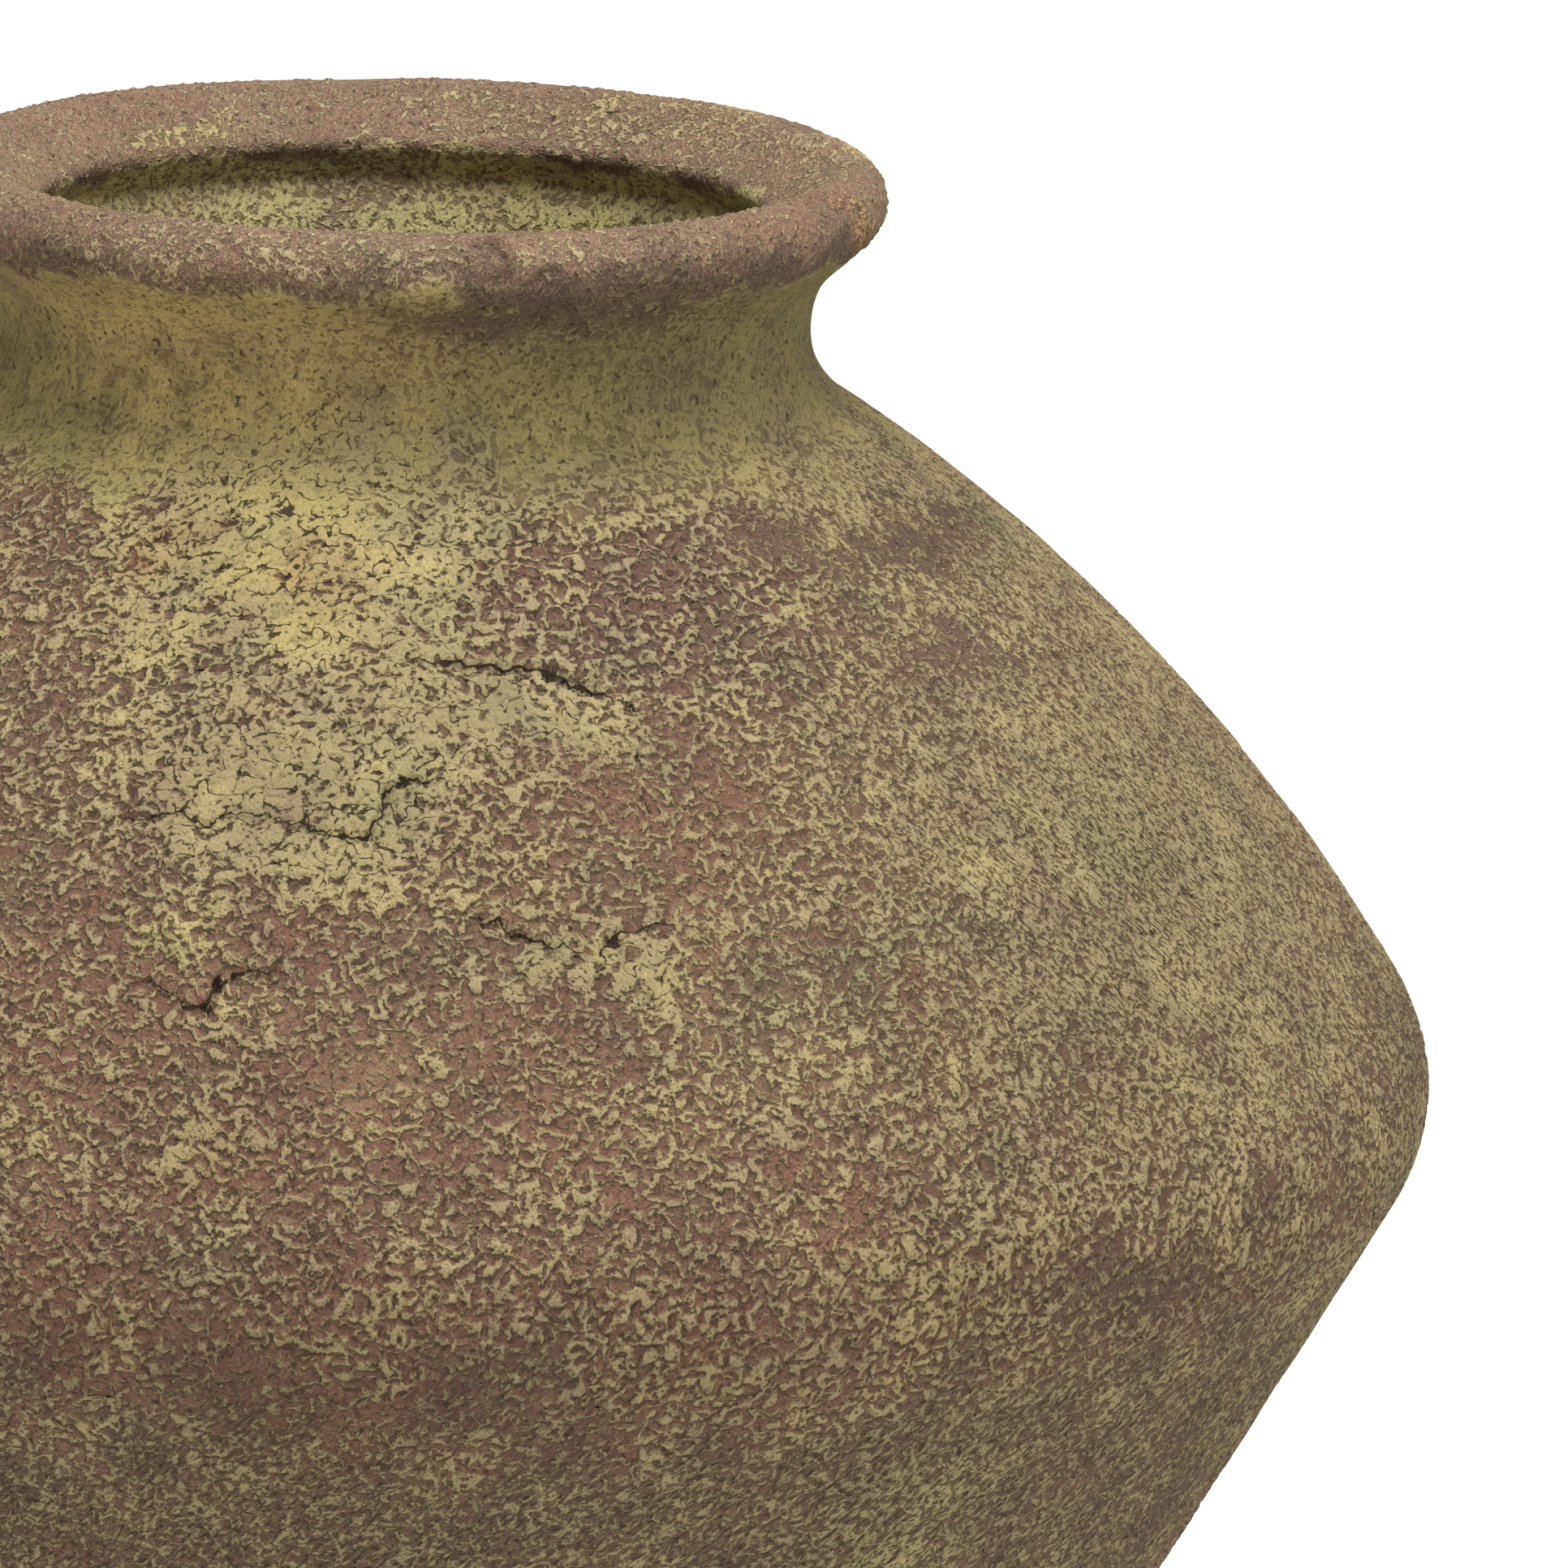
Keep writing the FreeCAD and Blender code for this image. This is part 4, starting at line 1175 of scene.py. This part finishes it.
class PITHOS_OT_stage(bpy.types.Operator):
    """Add the camera, the soft studio lamps and the pale floor"""
    bl_idname = "pithos.stage"
    bl_label = "Studio"

    def execute(self, context):
        studio = context.scene.pithos_studio
        data = bpy.data.cameras.new("photo_camera")
        data.lens, data.sensor_width = studio.lens, SENSOR_WIDTH
        camera = bpy.data.objects.new("photo_camera", data)
        camera.location = (studio.camera_right, -studio.camera_back, studio.camera_level)
        camera.rotation_euler = (
            Matrix.Rotation(math.pi / 2 - studio.camera_pitch, 3, "X")
            @ Matrix.Rotation(studio.camera_roll, 3, "Z")).to_euler()
        context.scene.collection.objects.link(camera)
        context.scene.camera = camera
        aim = Vector((0.0, 0.0, LAMP_AIM))
        for name, power, size, spot in LAMPS:
            light = bpy.data.lights.new(name, "AREA")
            light.energy, light.size = getattr(studio, power), size
            lamp = bpy.data.objects.new(name, light)
            lamp.location = spot
            lamp.rotation_euler = (aim - Vector(spot)).to_track_quat("-Z", "Y").to_euler()
            context.scene.collection.objects.link(lamp)
        self.add_floor(context)
        self.add_sky(context, studio)
        context.scene.view_settings.view_transform = "Standard"
        return {"FINISHED"}

    def add_floor(self, context):
        bm = bmesh.new()
        bmesh.ops.create_grid(bm, x_segments=1, y_segments=1, size=FLOOR_REACH)
        mesh = bpy.data.meshes.new("floor")
        bm.to_mesh(mesh)
        bm.free()
        floor = bpy.data.objects.new("floor", mesh)
        material = bpy.data.materials.new("pale_floor")
        bench = Bench(material)
        colour = tuple(context.scene.pithos_colours.floor[:]) + (1.0,)
        plain = bench.node("ShaderNodeBsdfDiffuse", {"Color": colour})
        seen = bench.node("ShaderNodeLightPath").outputs["Is Camera Ray"]
        glow = bench.node("ShaderNodeEmission", {"Color": (1, 1, 1, 1),
                                                 "Strength": bench.times(seen, FLOOR_GLOW)})
        both = bench.node("ShaderNodeAddShader", {0: plain.outputs[0], 1: glow.outputs[0]})
        bench.node("ShaderNodeOutputMaterial", {"Surface": both.outputs[0]})
        mesh.materials.append(material)
        context.scene.collection.objects.link(floor)

    def add_sky(self, context, studio):
        world = bpy.data.worlds.new("studio_sky")
        context.scene.world = world
        bench = Bench(world)
        path = bench.node("ShaderNodeLightPath")
        seen = bench.maths("MAXIMUM", path.outputs["Is Camera Ray"],
                           path.outputs["Is Transmission Ray"])
        bench.node("ShaderNodeOutputWorld", {"Surface": bench.node(
            "ShaderNodeBackground", {"Color": (1, 1, 1, 1), "Strength": bench.blend(
                studio.sky, 1.0, seen)}).outputs[0]})


class PITHOS_OT_base(bpy.types.Operator):
    """Make the base slab that the jar stands on"""
    bl_idname = "pithos.base"
    bl_label = "Base slab"

    def execute(self, context):
        outline, weather = outline_and_weather()
        top = seam_under(LOWER_COURSES[0])
        step = weather.crust.base_step / MM
        runs = Face(outline.run[0], outline.outside(top), step).runs()
        radius, level, out = outline.at(runs)
        under = np.linspace(0.0, outline.edge_radius, BASE_RINGS)[:-1]
        over = np.linspace(radius[-1], 0.0, BASE_RINGS)[1:]
        section = ([(r, 0.0) for r in under] + list(zip(radius, level))
                   + [(r, top) for r in over])
        columns = round(2 * math.pi * radius[-1] / step / SECTORS) * SECTORS
        mesh = turned_mesh("base_slab", section, columns, closed=False)
        points = read_points(mesh)
        flat_radius = np.hypot(points[:, 0], points[:, 1]) / MM
        height = points[:, 2] / MM
        turn = np.arctan2(points[:, 0], -points[:, 1])
        run = np.interp(height, level, runs)
        slope = out[-1]
        wear = weather.at(np.degrees(turn), run, np.maximum(flat_radius, 1.0), height,
                          np.broadcast_to(slope, (len(run), 2)))
        relief = wear.pop("relief")
        on_rim = np.abs(flat_radius - radius[-1]) < CLOSE
        on_side = (height > CLOSE) & (height < top - CLOSE)
        depth = relief * (on_rim | on_side)
        shift = np.stack([np.sin(turn) * slope[0], -np.cos(turn) * slope[0],
                          np.full(len(turn), slope[1])], 1)
        points = points + (shift * depth[:, None] * MM).astype(np.float32)
        points[:, 2] = np.maximum(points[:, 2], 0.0)
        mesh.vertices.foreach_set("co", points.ravel())
        for field, values in wear.items():
            add_field(mesh, field, values)
        self.unroll(mesh, turn, run)
        mesh.polygons.foreach_set("use_smooth", np.ones(len(mesh.polygons), bool))
        mesh.set_sharp_from_angle(angle=math.radians(40))
        mesh.update()
        finished("base_slab", mesh, "base_clay")
        return {"FINISHED"}

    def unroll(self, mesh, turn, run):
        """The Surface UV map, in metres along the side."""
        layer = mesh.uv_layers.new(name="Surface", do_init=False)
        loops = np.empty(len(mesh.loops), int)
        mesh.loops.foreach_get("vertex_index", loops)
        layer.uv.foreach_set("vector", np.stack(
            [turn[loops] * SURFACE_RADIUS * MM, run[loops] * MM], 1).astype(np.float32).ravel())


class PITHOS_OT_lower_wall(bpy.types.Operator):
    """Make the four courses of the leaning lower wall"""
    bl_idname = "pithos.lower_wall"
    bl_label = "Lower courses"

    def execute(self, context):
        for name in LOWER_COURSES:
            make_course(name, "streaked_clay")
        return {"FINISHED"}


class PITHOS_OT_belly(bpy.types.Operator):
    """Make the bent course at the widest place"""
    bl_idname = "pithos.belly"
    bl_label = "Belly course"

    def execute(self, context):
        make_course("belly_course", "crusted_clay")
        return {"FINISHED"}


class PITHOS_OT_shoulder(bpy.types.Operator):
    """Make the four courses of the domed shoulder"""
    bl_idname = "pithos.shoulder"
    bl_label = "Shoulder courses"

    def execute(self, context):
        for name in SHOULDER_COURSES:
            make_course(name, "crusted_clay")
        return {"FINISHED"}


class PITHOS_OT_neck(bpy.types.Operator):
    """Make the hollow neck, whose inner face is seen and so as finely made as the outer one"""
    bl_idname = "pithos.neck"
    bl_label = "Neck collar"

    def execute(self, context):
        make_course("neck_collar", "neck_clay", context.scene.pithos_crust.mesh_step / MM)
        return {"FINISHED"}


class PITHOS_OT_rim(bpy.types.Operator):
    """Make the rolled lip"""
    bl_idname = "pithos.rim"
    bl_label = "Rim roll"

    def execute(self, context):
        outline, weather = outline_and_weather()
        level = seam_under("rim_roll")
        face = Face(outline.outside(level), outline.inside(level), weather.crust.mesh_step / MM)
        crusted_ring("rim_roll", [face], LIP_RADIUS, "rim_clay")
        return {"FINISHED"}


class PITHOS_PT_sidebar(bpy.types.Panel):
    """Lists the steps that make the jar, and the sizes and colours behind them"""
    bl_idname = "PITHOS_PT_sidebar"
    bl_label = "Greek pithos"
    bl_space_type = "VIEW_3D"
    bl_region_type = "UI"
    bl_category = "Pithos"

    def draw(self, context):
        for operator in OPERATORS:
            self.layout.operator(operator.bl_idname)
        for group in GROUPS:
            box = self.layout.box()
            box.label(text=group.__doc__)
            for name in group.__annotations__:
                box.prop(getattr(context.scene, GROUPS[group]), name)


GROUPS = {PithosSizes: "pithos_sizes", PithosCrust: "pithos_crust",
          PithosColours: "pithos_colours", PithosStudio: "pithos_studio"}
OPERATORS = (PITHOS_OT_stage, PITHOS_OT_base, PITHOS_OT_lower_wall, PITHOS_OT_belly,
             PITHOS_OT_shoulder, PITHOS_OT_neck, PITHOS_OT_rim)


def register():
    for group, name in GROUPS.items():
        bpy.utils.register_class(group)
        setattr(bpy.types.Scene, name, PointerProperty(type=group))
    for item in OPERATORS + (PITHOS_PT_sidebar,):
        bpy.utils.register_class(item)


def unregister():
    for item in reversed(OPERATORS + (PITHOS_PT_sidebar,)):
        bpy.utils.unregister_class(item)
    for group, name in reversed(GROUPS.items()):
        delattr(bpy.types.Scene, name)
        bpy.utils.unregister_class(group)


def main():
    register()
    bpy.ops.pithos.stage()
    bpy.ops.pithos.base()
    bpy.ops.pithos.lower_wall()
    bpy.ops.pithos.belly()
    bpy.ops.pithos.shoulder()
    bpy.ops.pithos.neck()
    bpy.ops.pithos.rim()


if __name__ == "__main__":
    main()
